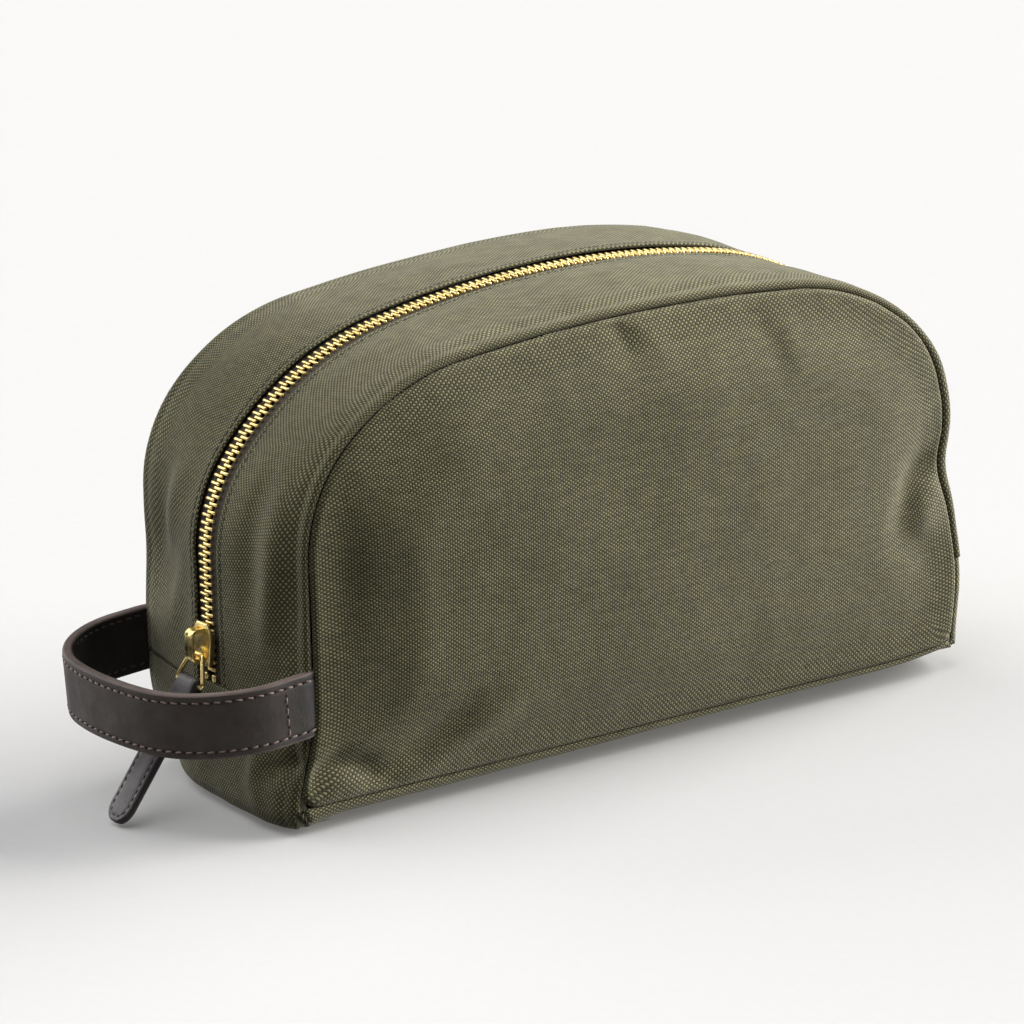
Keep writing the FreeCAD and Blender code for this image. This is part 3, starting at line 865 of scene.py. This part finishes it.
def end_panel(side, name, seed):
    """One end's cloth: it hangs from under the gussets and turns in at the floor."""
    s = graded(2 * SEAM_EDGE_Y, 7.0, 0.36, 1.8)
    from_seam = np.minimum(s, 2 * SEAM_EDGE_Y - s)
    inset = turned(from_seam, SEAM_ROLL, SEAM_TURN)[0]
    y = np.sign(s - SEAM_EDGE_Y) * (SEAM_EDGE_Y - inset)
    z, depth, run, hung = end_profile()
    seam_stand = np.where(s < SEAM_EDGE_Y, SEAM_STAND, BACK_SEAM_STAND)
    bead = seam_profile(from_seam, seam_stand) * smooth((SEAM_EDGE_Y - from_seam) / (0.35 * SEAM_EDGE_Y))
    tucked = 0.25 * smooth((z - ZIP_FOOT_Z + 0.3) / 0.8)
    across, up = np.meshgrid(y, z)
    shape = across.shape
    places = np.stack([0 * across, across, up], 2).reshape(-1, 3)
    wave = 1.1 * ripple(places, 24.0, seed).reshape(shape)
    if side < 0:
        spots = across.ravel(), up.ravel()
        crease = folded(*spots, FOOT_CREASES) + folded(*spots, END_CREASES)
        wave += crease.reshape(shape) * smooth(from_seam / 3)
    wave = wave * smooth(from_seam / 6) * smooth((ZIP_FOOT_Z + 1 - up) / 8)
    across = across * (1 - 0.04 * smooth(depth / BASE_ROUND))[:, None]
    under_y, under_z = base_half(base_drop(side))[:2]
    lowest = np.interp(-y, under_y[::-1], under_z[::-1])
    back_y, back_z = base_half(BACK_DROP)[:2]
    lowest = np.where(y > 0, np.interp(y, back_y[::-1], back_z[::-1]), lowest)
    up = np.maximum(up, np.minimum(lowest, SEAM_Z - BASE_ROLL)[None])
    out = end_section(y) + bead - depth[:, None] - tucked[:, None] + wave
    if side > 0:
        out += fullness(FRONT.half, up, from_seam) * (across < 0)
    grid = np.stack([side * out, across, up], 2)
    flat = np.stack([np.broadcast_to(-run[:, None], shape), np.broadcast_to(s, shape)], 2)
    made = sheet("canvas_end_" + name, grid, flat, CLOTH, outside=(side, 0, 0))
    settle(made, "bag", "canvas", "end_panel_" + name)
    under = grid[:hung] - (side * (CANVAS + 1.0), 0, 0)
    lining = sheet("lining_end_" + name + "_cloth", under, flat[:hung], LINING, LINING_THICK, (side, 0, 0))
    settle(lining, "bag", "lining", "lining_end_" + name)


def base_drop(part):
    """How far the base turns under its front seam, from the left end (-1) to the right (1)."""
    return 3.6 - 2.4 * smooth((part + 1) / 1.6) + 3.6 * smooth(1 - (part + 1) / 0.11)


def run_along(*places):
    """The run to each point of a line, from its coordinates."""
    return np.concatenate([[0], np.cumsum(np.hypot(*map(np.diff, places)))])


def base_half(drop):
    """Half of the base's section, from its rim to the bag's middle: (y, z) and run. It turns under
    the seam within a drop, then slopes gently to the floor."""
    rim_z = SEAM_Z - 0.2
    lip = np.linspace(math.radians(120), 0, 9)[:-1]
    y = [PANEL_Y - 0.4 - BASE_ROLL * (1 - math.cos(t)) for t in lip]
    z = [rim_z - BASE_ROLL + BASE_ROLL * math.sin(t) for t in lip]
    under = np.linspace(0, math.radians(70), 10)
    y += [PANEL_Y - 0.4 - drop * (1 - math.cos(t)) for t in under]
    z += [rim_z - BASE_ROLL - drop * math.sin(t) for t in under]
    share = np.linspace(0, 1, 14)[1:]
    low = z[-1]
    y += [y[-1] - 5.2 * low * t for t in share]
    z += [low * (1 - t) ** 1.8 for t in share]
    middle = np.linspace(y[-1], 0, 10)[1:]
    y, z = np.array(y + list(middle)), np.array(z + [0.0] * len(middle))
    return y, z, run_along(y, z)


def base():
    """The base: rolled rims under the panels' seams, turned under and across the floor."""
    share = graded(2.0, 0.1, 0.012, 0.018) - 1
    grid, flat = [], []
    for part in share:
        front_y, front_z, run = base_half(base_drop(part))
        back_y, back_z, back_run = base_half(BACK_DROP)
        y = np.concatenate([-front_y, back_y[-2::-1]])
        z = np.concatenate([front_z, back_z[-2::-1]])
        end_x = end_section(y) - 0.6
        reach = np.clip(abs(part) * end_x - end_x + BASE_ROUND, 0, BASE_ROUND)
        lift = BASE_ROUND - np.sqrt(BASE_ROUND ** 2 - reach ** 2)
        grid.append(np.stack([part * end_x, y, np.maximum(z, np.minimum(lift, SEAM_Z - 0.2))], 1))
        across = np.concatenate([run, 2 * run[-1] - back_run[-2::-1]])
        flat.append(np.stack([part * end_x, across], 1))
    grid, flat = np.array(grid), np.array(flat)
    made = sheet("canvas_base", grid, flat, CLOTH, outside=(0, 0, -1))
    settle(made, "bag", "canvas", "base_panel")
    inner = grid[6:-6, 20:-20] + (0, 0, CANVAS + 0.3)
    lining = sheet("lining_base_cloth", inner, flat[6:-6, 20:-20], LINING, LINING_THICK, (0, 0, -1))
    settle(lining, "bag", "lining", "lining_base")


# ---------------------------------------------------------------- stitches

def dashes(name, centres, along, normal, length, radius, material, slant=0.0):
    """One row of stitches: short rounded threads that dip into the surface at both ends."""
    stations = np.linspace(-1, 1, 7)
    sides = np.arange(6) * math.pi / 3
    thick = np.sqrt(np.clip(1 - np.abs(stations) ** 3.5, 0.02, 1))
    sink = -1.1 * np.abs(stations) ** 3
    across = np.cross(along, normal)
    along = along * math.cos(slant) + across * math.sin(slant)
    across = np.cross(along, normal)
    points, faces = [], []
    for i in range(len(centres)):
        first = i * len(stations) * len(sides)
        for s, t, d in zip(stations, thick, sink):
            middle = centres[i] + along[i] * s * length / 2 + normal[i] * d * radius
            for angle in sides:
                points.append(middle + radius * t * (1.15 * across[i] * math.cos(angle)
                                                     + normal[i] * math.sin(angle)))
        faces += rod_faces(len(stations), len(sides), first)
    return piece(name, np.array(points), faces, [material])


def holes(name, centres, along, normal):
    """Dark beads between the stitches of a row on the handle: painted shade where its needle holes lie."""
    between = centres + along * LEATHER_STITCH / 2
    return dashes(name, between - normal * 0.12, along, normal, 0.95, HOLE_R, HOLE_SHADE)


def topstitching():
    """Thread beside the zip, on each gusset's folded edge."""
    for side, name, arch, window, stand, seed in GUSSETS:
        points, normals, _, from_edge = gusset_surface(side, arch, window, stand, seed, STITCH_PITCH)
        row = int(np.argmin(np.abs(from_edge[:, 0] - TOPSTITCH_INSET)))
        line = sag(points[row]) + normals[row] * 0.10
        made = dashes("topstitching_" + name, line[1:-1], unit(np.gradient(line, axis=0))[1:-1],
                      normals[row][1:-1], 2.2, CLOTH_THREAD_R, GREEN_THREAD)
        hang(made, side, "canvas")


# ---------------------------------------------------------------- zip

def tape(side, name):
    y = np.concatenate([[TAPE_INNER_Y, TAPE_INNER_Y + 0.25, TAPE_INNER_Y + 0.6],
                        np.linspace(TAPE_INNER_Y + 1.1, TAPE_OUTER_Y, 9)])
    q = CREST.even(1.5, ZIP_FOOT_Z + 0.3)
    cord = 0.35 * bell(y, TAPE_INNER_Y + 0.3, 0.6)
    grid = np.zeros((len(y), len(q), 3))
    for row, (at_y, lift) in enumerate(zip(y, cord)):
        depth = TAPE_DEPTH + 0.12 * (at_y - TAPE_INNER_Y) - lift
        found, _ = CREST.at(q, ZIP_FOOT_Z + 0.3, depth)
        grid[row] = np.stack([found[:, 0], np.full(len(q), side * at_y), found[:, 1]], 1)
    run = CREST.lengths(ZIP_FOOT_Z)[-1] * np.linspace(0, 1, len(q))
    flat = np.stack(np.meshgrid(run, y), 2)
    return sheet("zip_tape_" + name + "_cloth", grid, flat, TAPE, TAPE_THICK)


def tooth_form():
    """Sections of one tooth from its root on the tape to its tip: place, half width, half height."""
    return [(3.35, 0.42, 0.50), (3.15, 0.56, 0.72), (2.0, 0.58, 0.80), (1.2, 0.47, 0.80),
            (0.55, 0.44, 0.78), (-0.15, 0.58, 0.76), (-0.65, 0.58, 0.66), (-0.95, 0.40, 0.45)]


def teeth(side, name, offset):
    """Every tooth of one row, each turned to lie across the tape."""
    foot = FIRST_TOOTH_Z
    total = CREST.lengths(foot, TEETH_DEPTH)[-1]
    runs = np.arange(offset, total, TOOTH_PITCH)
    places, out = CREST.at(CREST.places(runs, foot, TEETH_DEPTH), foot, TEETH_DEPTH)
    sides = (np.arange(8) + 0.5) * math.pi / 4
    square = np.stack([np.cos(sides), np.sin(sides)], 1)
    square = np.sign(square) * np.abs(square) ** 0.55
    points, faces = [], []
    form = tooth_form()
    for (x, z), (nx, nz) in zip(places, out):
        first = len(points)
        outwards, forward = np.array([nx, 0, nz]), np.array([nz, 0, -nx])
        for y, half_width, half_height in form:
            middle = np.array([x, side * y, z])
            for a, b in square:
                points.append(middle + forward * a * half_width + outwards * b * half_height)
        faces += rod_faces(len(form), len(square), first)
    return piece("zip_teeth_" + name + "_brass", np.array(points), faces, [TEETH_BRASS])


def bevelled(name, shape, bevel, material):
    bmesh.ops.bevel(shape, geom=shape.edges[:], offset=bevel * MM, segments=3, profile=0.5,
                    affect="EDGES")
    return finished(name, shape, materials=[material])


def block(name, low, high, bevel):
    """A small bevelled block, for a zip stop."""
    size, middle = np.array(high) - np.array(low), (np.array(high) + np.array(low)) / 2
    shape = bmesh.new()
    bmesh.ops.create_cube(shape, size=1.0)
    for vertex in shape.verts:
        vertex.co = Vector((np.array(vertex.co) * size + middle) * MM)
    return bevelled(name, shape, bevel, TEETH_BRASS)


def zip_parts():
    for side, name in ((-1, "front"), (1, "back")):
        strip = tape(side, name)
        row = teeth(side, name, 0.0 if side < 0 else TOOTH_PITCH / 2)
        low, high = cad("zip_top_stop_" + name)
        stop = block("zip_top_stop_" + name + "_brass", low + (0, 0.1, 0), high - (0, 0.1, 0), 0.5)
        hang(strip, side, "zip_tape", "zip_tape_" + name)
        hang(row, side, "brass", "zip_teeth_" + name)
        hang(stop, side, "brass", "zip_top_stop_" + name)
    low, high = cad("zip_bottom_stop")
    stop = block("zip_bottom_stop_brass", low, high, 0.6)
    settle(stop, "bag", "brass", "zip_bottom_stop")


def join(name, parts):
    """One object from several, with every part's faces kept."""
    shape = bmesh.new()
    for part in parts:
        shape.from_mesh(part.data)
    made = finished(name, shape, materials=parts[0].data.materials)
    for part in parts:
        bpy.data.objects.remove(part)
    return made


def plate(name, outline, low_x, high_x, bevel):
    """A flat plate whose outline is (y, z) points, between two x positions."""
    shape = bmesh.new()
    face = shape.faces.new([shape.verts.new((low_x * MM, y * MM, z * MM)) for y, z in outline])
    grown = bmesh.ops.extrude_face_region(shape, geom=[face])
    moved = [v for v in grown["geom"] if isinstance(v, bmesh.types.BMVert)]
    bmesh.ops.translate(shape, verts=moved, vec=((high_x - low_x) * MM, 0, 0))
    bmesh.ops.recalc_face_normals(shape, faces=shape.faces)
    return bevelled(name, shape, bevel, BRASS)


def slider():
    """The slider's two plates with their side lips, and the bail that holds the ring."""
    low, high = cad("slider_body")
    narrow, wide, top_x = 3.4, high[1], low[0]
    outline = [(narrow, low[2]), (wide, high[2] - 5.2), (wide, high[2] - 2.6), (2.7, high[2])]
    outline += [(-y, z) for y, z in reversed(outline)]
    parts = [plate("top", outline, top_x, top_x + 1.3, 0.4),
             plate("under", outline, high[0] - 1.0, high[0], 0.3)]
    for side in (-1, 1):
        lip = [(side * (narrow - 0.1), low[2] + 0.2), (side * (wide - 0.1), high[2] - 5.2),
               (side * (wide - 0.1), high[2] - 3.0), (side * (wide - 0.9), high[2] - 3.0),
               (side * (wide - 0.9), high[2] - 5.2), (side * (narrow - 0.9), low[2] + 0.2)]
        parts.append(plate("lip", lip, top_x + 0.6, top_x + 2.3, 0.2))
    body = join("slider_body_brass", parts)
    settle(body, "slider", "brass", "slider_body")
    bail = bail_loop()
    settle(bail, "slider", "brass", "slider_bail")


def bail_loop():
    """A channelled strap bent into a loop: two proud rims with a hollow between them."""
    low, high = cad("slider_bail")
    corner, wall, half_width = 2.6, 1.5, 2.1
    x_out, x_in = low[0], high[0] + 0.3
    turn = np.linspace(0, math.pi / 2, 8)
    foot = [(x_in, low[2])]
    lower = [(x_out + corner - corner * math.sin(t), low[2] + corner - corner * math.cos(t)) for t in turn]
    upper = [(x_out + corner - corner * math.cos(t), high[2] - corner + corner * math.sin(t)) for t in turn]
    spine = np.array(foot + lower + upper + [(x_in, high[2])])
    ahead = unit(np.gradient(spine, axis=0))
    out = np.stack([-ahead[:, 1], ahead[:, 0]], 1)
    centre = np.array([x_in, (low[2] + high[2]) / 2])
    out *= np.sign(((spine - centre) * out).sum(1).mean())
    rim, hollow = 0.55, 0.45
    section = [(-half_width, -wall + 0.3), (-half_width, -0.25), (-half_width + 0.25, 0.0),
               (-half_width + rim, 0.0), (-half_width + rim + 0.3, -hollow),
               (half_width - rim - 0.3, -hollow), (half_width - rim, 0.0), (half_width - 0.25, 0.0),
               (half_width, -0.25), (half_width, -wall + 0.3), (half_width - 0.3, -wall),
               (-half_width + 0.3, -wall)]
    points = []
    for (x, z), (nx, nz) in zip(spine, out):
        for y, h in section:
            points.append((x + nx * h, y, z + nz * h))
    return piece("slider_bail_brass", np.array(points), rod_faces(len(spine), len(section)), [BRASS])


def tube(name, spine, radius, material, sides=14):
    """A round wire along a closed line of points."""
    ahead = unit(np.roll(spine, -1, axis=0) - np.roll(spine, 1, axis=0))
    flat = np.linalg.svd(spine - spine.mean(0))[2][2]
    side = np.cross(ahead, flat)
    points = []
    for p, s in zip(spine, side):
        for k in range(sides):
            angle = 2 * math.pi * k / sides
            points.append(p + radius * (s * math.cos(angle) + flat * math.sin(angle)))
    faces = grid_faces(len(spine), sides, around=True)
    last = (len(spine) - 1) * sides
    faces += [(last + k, last + (k + 1) % sides, (k + 1) % sides, k) for k in range(sides)]
    return piece(name, np.array(points), faces, [material])


def ring():
    """Wire ring: a short bar in the bail, two splayed legs and a bar in the leather's fold."""
    down = RING_FOOT - RING_TOP
    height = np.linalg.norm(down)
    axis = down / height
    top_half, foot_half, corner = 3.2, 8.0, 1.2
    corners = np.array([(-top_half, 0), (top_half, 0), (foot_half, height), (-foot_half, height)])
    spine = []
    for i, at in enumerate(corners):
        before, after = unit(corners[i - 1] - at), unit(corners[(i + 1) % 4] - at)
        half_angle = math.acos(before.dot(after)) / 2
        middle = at + unit(before + after) * corner / math.sin(half_angle)
        first = at + before * corner / math.tan(half_angle) - middle
        last = at + after * corner / math.tan(half_angle) - middle
        for t in np.linspace(0, 1, 9):
            spine.append(middle + unit(first * (1 - t) + last * t) * corner)
    spine = np.array(spine)
    world = RING_TOP + spine[:, :1] * np.array([0, 1, 0]) + spine[:, 1:] * axis
    made = tube("pull_ring_wire", world, WIRE_R, BRASS)
    settle(made, "ring", "brass", "pull_ring")


# ---------------------------------------------------------------- leather

def tab_frame(s, y, h):
    """A place on the pull tab: s down its length, y across it, h out of its face."""
    down = np.array([-math.sin(TAB_LEAN), 0, -math.cos(TAB_LEAN)])
    face = np.array([-math.cos(TAB_LEAN), 0, math.sin(TAB_LEAN)])
    return RING_FOOT + np.multiply.outer(s, down) + np.multiply.outer(h, face) \
        + np.multiply.outer(y, np.array([0, 1.0, 0]))


def tab_half_width(s):
    wide = FOLD_HALF_WIDTH + (TAB_HALF_WIDTH - FOLD_HALF_WIDTH) * smooth(s / 7)
    past = np.clip(s - (TAB_LENGTH - TAB_HALF_WIDTH), 0, TAB_HALF_WIDTH)
    return wide * np.sqrt(np.clip(1 - (past / TAB_HALF_WIDTH) ** 2, 0, 1))


def tab_half_thick(s):
    loop = np.sqrt(np.clip(FOLD_R ** 2 - s ** 2, 0, None))
    blade = 1.5 + (FOLD_R - 1.5) * (1 - smooth((s - 0.5) / 6.5))
    return np.where(s < 0, loop, blade)


def pull_tab():
    """Two layers of leather folded over the ring and sewn together, with a round tip."""
    ends = FOLD_R * (1 - np.cos(np.linspace(0, math.pi / 2, 10))) - FOLD_R
    tip = TAB_LENGTH - TAB_HALF_WIDTH * (1 - np.sin(np.linspace(0, math.pi / 2, 22)))
    s = np.concatenate([ends, np.linspace(0.6, TAB_LENGTH - TAB_HALF_WIDTH, 34)[:-1], tip])
    edge = np.array([1.0, 0.994, 0.975, 0.94, 0.90])
    c = np.concatenate([-edge, np.linspace(-0.84, 0.84, 25), edge[::-1]])
    width, thick = tab_half_width(s), tab_half_thick(s)
    rounding = (1 - np.abs(c) ** 9) ** (1 / 2.6)
    y = width[:, None] * c[None]
    from_side = width[:, None] * (1 - np.abs(c))[None]
    from_tip = np.clip(TAB_LENGTH - s, 0, None)[:, None]
    near = np.minimum(from_side, from_tip + 0 * from_side)
    groove = 0.22 * bell(near, 2.0, 0.5) * (s > 6)[:, None]
    closing = np.clip(1 - np.clip(1 - from_tip / 0.9, 0, 1) ** 2.2, 0, 1) ** 0.5
    height = (thick[:, None] - groove) * rounding[None] * closing
    rows, columns = len(s), len(c)
    top = tab_frame(np.broadcast_to(s[:, None], y.shape), y, height)
    under = tab_frame(np.broadcast_to(s[:, None], y.shape), y, -height)
    points = np.concatenate([top.reshape(-1, 3), under.reshape(-1, 3)])
    faces = grid_faces(rows, columns)
    faces += [tuple(reversed(f)) for f in grid_faces(rows, columns, rows * columns)]
    made = piece("pull_tab_leather", points, faces, [TAB_FACE, TAB_EDGE])
    shape = bmesh.new()
    shape.from_mesh(made.data)
    bmesh.ops.remove_doubles(shape, verts=shape.verts, dist=0.00003)
    bmesh.ops.recalc_face_normals(shape, faces=shape.faces)
    face_out = Vector((-math.cos(TAB_LEAN), 0, math.sin(TAB_LEAN)))
    for face in shape.faces:
        face.material_index = int(abs(face.normal.dot(face_out)) < 0.75
                                  and (face.calc_center_median() - Vector(RING_FOOT * MM)).length > 0.004)
    shape.to_mesh(made.data)
    shape.free()
    made.data.shade_smooth()
    settle(made, "tab", "leather", "pull_tab")
    tab_stitches()


def tab_stitches():
    """A row of stitches round the blade, on both of its faces."""
    first, inset, pitch = 9, 2.0, 2.7
    w = TAB_HALF_WIDTH - inset
    straight = TAB_LENGTH - TAB_HALF_WIDTH
    places = []
    for r in np.arange(0.6, 2 * (straight - first) + math.pi * w, pitch):
        if r < straight - first:
            places.append((first + r, -w))
        elif r < straight - first + math.pi * w:
            angle = (r - straight + first) / w
            places.append((straight + w * math.sin(angle), -w * math.cos(angle)))
        else:
            places.append((straight - (r - straight + first - math.pi * w), w))
    places = np.array(places)
    for name, h in (("face", 1), ("back", -1)):
        height = h * (tab_half_thick(places[:, 0]) - 0.12)
        line = tab_frame(places[:, 0], places[:, 1], height)
        along = unit(np.gradient(line, axis=0))
        normal = np.tile(h * np.array([-math.cos(TAB_LEAN), 0, math.sin(TAB_LEAN)]), (len(line), 1))
        row = dashes("pull_tab_stitches_" + name, line, along, normal, 1.9, CLOTH_THREAD_R, GREEN_THREAD)
        settle(row, "tab", "leather")


def strap_line(spacing):
    """The handle's outer face in plan: points, outward directions and the run to each."""
    bend_y = STRAP_Y - STRAP_CORNER_R
    reach = STRAP_APEX_R - STRAP_CORNER_R
    apex_x = STRAP_BEND_X + math.sqrt(reach ** 2 - bend_y ** 2)
    join_angle = math.atan2(bend_y, apex_x - STRAP_BEND_X)
    seam_x = -FRONT.half + 1.0
    straight = seam_x - STRAP_BEND_X
    bend = STRAP_CORNER_R * (math.pi / 2 - join_angle)
    apex = STRAP_APEX_R * join_angle
    half = straight + bend + apex
    run = np.linspace(-half, half, int(2 * half / spacing) + 1)
    left = half - np.abs(run)
    point, out = np.zeros((len(run), 2)), np.zeros((len(run), 2))
    for i, r in enumerate(left):
        if r < straight:
            point[i], out[i] = (seam_x - r, -STRAP_Y), (0, -1)
        elif r < straight + bend:
            angle = math.pi / 2 - (r - straight) / STRAP_CORNER_R
            out[i] = (-math.cos(angle), -math.sin(angle))
            point[i] = np.array([STRAP_BEND_X, -bend_y]) + STRAP_CORNER_R * out[i]
        else:
            angle = join_angle - (r - straight - bend) / STRAP_APEX_R
            out[i] = (-math.cos(angle), -math.sin(angle))
            point[i] = np.array([apex_x, 0]) + STRAP_APEX_R * out[i]
    back = run > 0
    point[back, 1] *= -1
    out[back, 1] *= -1
    return point, out, left


def droop(points):
    """Turns the level strap down about its ends."""
    pivot = np.array([-FRONT.half - 0.9, 0, STRAP_LOW_Z + STRAP_HEIGHT / 2])
    away = points - pivot
    x = away[..., 0] * math.cos(STRAP_DROOP) - away[..., 2] * math.sin(STRAP_DROOP)
    z = away[..., 0] * math.sin(STRAP_DROOP) + away[..., 2] * math.cos(STRAP_DROOP)
    return np.stack([x, away[..., 1], z], -1) + pivot


def strap_section():
    """Outline of the strap across its run: (out of the face, up) with rounded, burnished edges."""
    radius = 0.9
    face = np.linspace(radius, STRAP_HEIGHT - radius, 44)
    from_edge = np.minimum(face, STRAP_HEIGHT - face)
    dent = -0.28 * bell(from_edge, STITCH_INSET, 0.55) - 0.12 * smooth(1 - from_edge / 3.2)
    front = [(d, z) for d, z in zip(dent, face)]
    turn = np.linspace(0, math.pi / 2, 5)[1:-1]
    top = [(-radius + radius * math.cos(t) - 0.12, STRAP_HEIGHT - radius + radius * math.sin(t))
           for t in turn]
    flat_top = [(-radius - k * (STRAP_THICK - 2 * radius) / 4, STRAP_HEIGHT) for k in range(5)]
    inner_x = -STRAP_THICK
    top_in = [(inner_x + radius - radius * math.sin(t), STRAP_HEIGHT - radius + radius * math.cos(t))
              for t in turn]
    back = [(inner_x - d, z) for d, z in zip(dent[::-1], face[::-1])]
    low_in = [(x, STRAP_HEIGHT - z) for x, z in reversed(top_in)]
    flat_low = [(x, 0.0) for x, _ in reversed(flat_top)]
    low = [(x, STRAP_HEIGHT - z) for x, z in reversed(top)]
    return np.array(front + top + flat_top + top_in + back + low_in + flat_low + low)


def handle():
    """The loop handle: two leather layers sewn together, their edges burnished as one, and its inner face
    in a darker copy of the leather as painted shade.
    """
    point, out, left = strap_line(1.5)
    section = strap_section()
    wobble = 0.5 * ripple(np.concatenate([point, 0 * point[:, :1]], 1), 40.0, 5) * smooth(left / 20)
    squeeze = 1 - 0.35 * (1 - smooth(left / 5))
    rows, columns = len(point), len(section)
    grid = np.zeros((rows, columns, 3))
    depth = section[None, :, 0] * squeeze[:, None] - 1.2 * (1 - smooth(left / 6))[:, None]
    grid[..., :2] = point[:, None] + out[:, None] * depth[..., None]
    grid[..., 2] = STRAP_LOW_Z + section[None, :, 1] + wobble[:, None]
    points = droop(grid).reshape(-1, 3)
    faces = rod_faces(rows, columns)
    on_edge = (section[:, 1] < 0.75) | (section[:, 1] > STRAP_HEIGHT - 0.75)
    # The inner face takes the darker copy of the leather: painted shade.
    side = np.where(on_edge, 1, np.where(section[:, 0] < -STRAP_THICK / 2, 2, 0))
    chosen = list(side) * (rows - 1) + [0, 0]
    made = piece("handle_strap", points, faces, [STRAP_FACE, STRAP_EDGE, STRAP_INNER_SHADE], chosen=chosen)
    settle(made, "bag", "leather", "handle_end_front", "handle_end_back", "handle_outer_strap",
           "handle_inner_strap")
    handle_stitches()


def leather_row(name, line, along, normal, length, slant, material):
    """A row of stitches on the handle, with dark beads of painted shade at its needle holes."""
    made = [dashes(name, line, along, normal, length, LEATHER_THREAD_R, material, slant)]
    if material is BROWN_THREAD:
        made.append(holes(name + "_holes", line, along, normal))
    for part in made:
        settle(part, "bag", "leather")


def handle_stitches():
    """Two rows along the strap on both faces, and a cross row at each end."""
    point, out, left = strap_line(LEATHER_STITCH)
    kept = left > 2.5
    for face, depth, facing, material in (("outer", -0.20, 1, BROWN_THREAD),
                                          ("inner", -STRAP_THICK + 0.20, -1, DARK_THREAD)):
        normal = facing * np.concatenate([out, np.zeros((len(out), 1))], 1)[kept]
        for name, height, slant in (("low", STITCH_INSET, -9), ("high", STRAP_HEIGHT - STITCH_INSET, 9)):
            level = np.full((len(point), 1), STRAP_LOW_Z + height)
            line = droop(np.concatenate([point + out * depth, level], 1))[kept]
            leather_row("handle_stitches_" + face + "_" + name, line, unit(np.gradient(line, axis=0)),
                        normal, 2.7, math.radians(slant), material)
    for name, side in (("front", -1), ("back", 1)):
        z = np.arange(STITCH_INSET + 1.9, STRAP_HEIGHT - STITCH_INSET - 1.0, LEATHER_STITCH)
        line = droop(np.stack([np.full(len(z), CROSS_ROW_X), np.full(len(z), side * (STRAP_Y + 0.02)),
                               STRAP_LOW_Z + z], 1))
        leather_row("handle_cross_stitches_" + name, line, np.tile([0, 0, 1.0], (len(z), 1)),
                    np.tile([0, side * 1.0, 0], (len(z), 1)), 2.6, math.radians(8), BROWN_THREAD)


# ---------------------------------------------------------------- stage

def camera():
    """A long lens from the front left, a little above the bag."""
    azimuth, elevation, turn = math.radians(-35.034), math.radians(16.755), math.radians(1.6556)
    target, distance = Vector((-0.0166, 0.0, 0.07487)), 2.5
    back = Vector((math.sin(azimuth) * math.cos(elevation), -math.cos(azimuth) * math.cos(elevation),
                   math.sin(elevation)))
    data = bpy.data.cameras.new("camera")
    data.sensor_width = 36.0
    data.lens = 263.61
    data.clip_end = 50.0
    made = linked("camera", data)
    right = Vector((math.cos(azimuth), math.sin(azimuth), 0))
    up = back.cross(right)
    tilted_right = right * math.cos(turn) - up * math.sin(turn)
    tilted_up = right * math.sin(turn) + up * math.cos(turn)
    made.matrix_world = matrix_of(tilted_right, tilted_up, back, target + back * distance)
    bpy.context.scene.camera = made


def matrix_of(x_axis, y_axis, z_axis, place):
    columns = [(*x_axis, 0), (*y_axis, 0), (*z_axis, 0), (*place, 1)]
    return type(bpy.context.scene.cursor.matrix)(columns).transposed()


def floor():
    f = Finish("floor")
    paper = f.noise(f.place(), 0.004, 2.0)
    colour = f.mix(f.span(paper, 0.3, 0.7), (0.452, 0.455, 0.462), (0.462, 0.465, 0.472))
    material = f.finish(colour, f.span(paper, 0.3, 0.7, 0.9, 0.95), f.bump(paper, 0.00002),
                        Specular_IOR_Level=0.1, Emission_Strength=0.10)
    f.shader.inputs["Emission Color"].default_value = (1.0, 0.985, 0.975, 1)
    mesh = bpy.data.meshes.new("floor")
    far = 9.0
    mesh.from_pydata([(-far, -far, 0), (far, -far, 0), (far, far, 0), (-far, far, 0)], [], [(0, 1, 2, 3)])
    mesh.materials.append(material)
    made = linked("floor", mesh)
    made.visible_diffuse = False
    made.visible_shadow = False


def sun(name, azimuth, elevation, strength, colour, softness=60):
    """A soft far light; azimuth 0 stands on the camera's -Y side and 90 on +X."""
    data = bpy.data.lights.new(name, "SUN")
    data.energy = strength
    data.angle = math.radians(softness)
    data.color = colour
    made = linked(name, data)
    a, e = math.radians(azimuth), math.radians(elevation)
    toward = Vector((math.sin(a) * math.cos(e), -math.cos(a) * math.cos(e), math.sin(e)))
    made.rotation_mode = "QUATERNION"
    made.rotation_quaternion = toward.to_track_quat("Z", "Y")


def lights():
    world = bpy.data.worlds.new("studio")
    world.use_nodes = True
    world.node_tree.nodes["Background"].inputs["Color"].default_value = (1.0, 0.995, 0.99, 1)
    world.node_tree.nodes["Background"].inputs["Strength"].default_value = 0.06
    bpy.context.scene.world = world
    sun("key", 78, 22, 8.4, (1.0, 0.975, 0.94))
    sun("rim", 200, 22, 2.2, (1.0, 0.99, 0.98))
    sun("top", 270, 70, 1.75, (1.0, 0.99, 0.98))
    sun("bounce", 84, -25, 2.0, (1.0, 0.98, 0.95))
    bpy.context.scene.view_settings.view_transform = "Standard"


camera()
floor()
lights()
panels()
gussets()
end_panel(-1, "left", 41)
end_panel(1, "right", 47)
base()
topstitching()
zip_parts()
slider()
ring()
pull_tab()
handle()

bpy.context.view_layer.update()
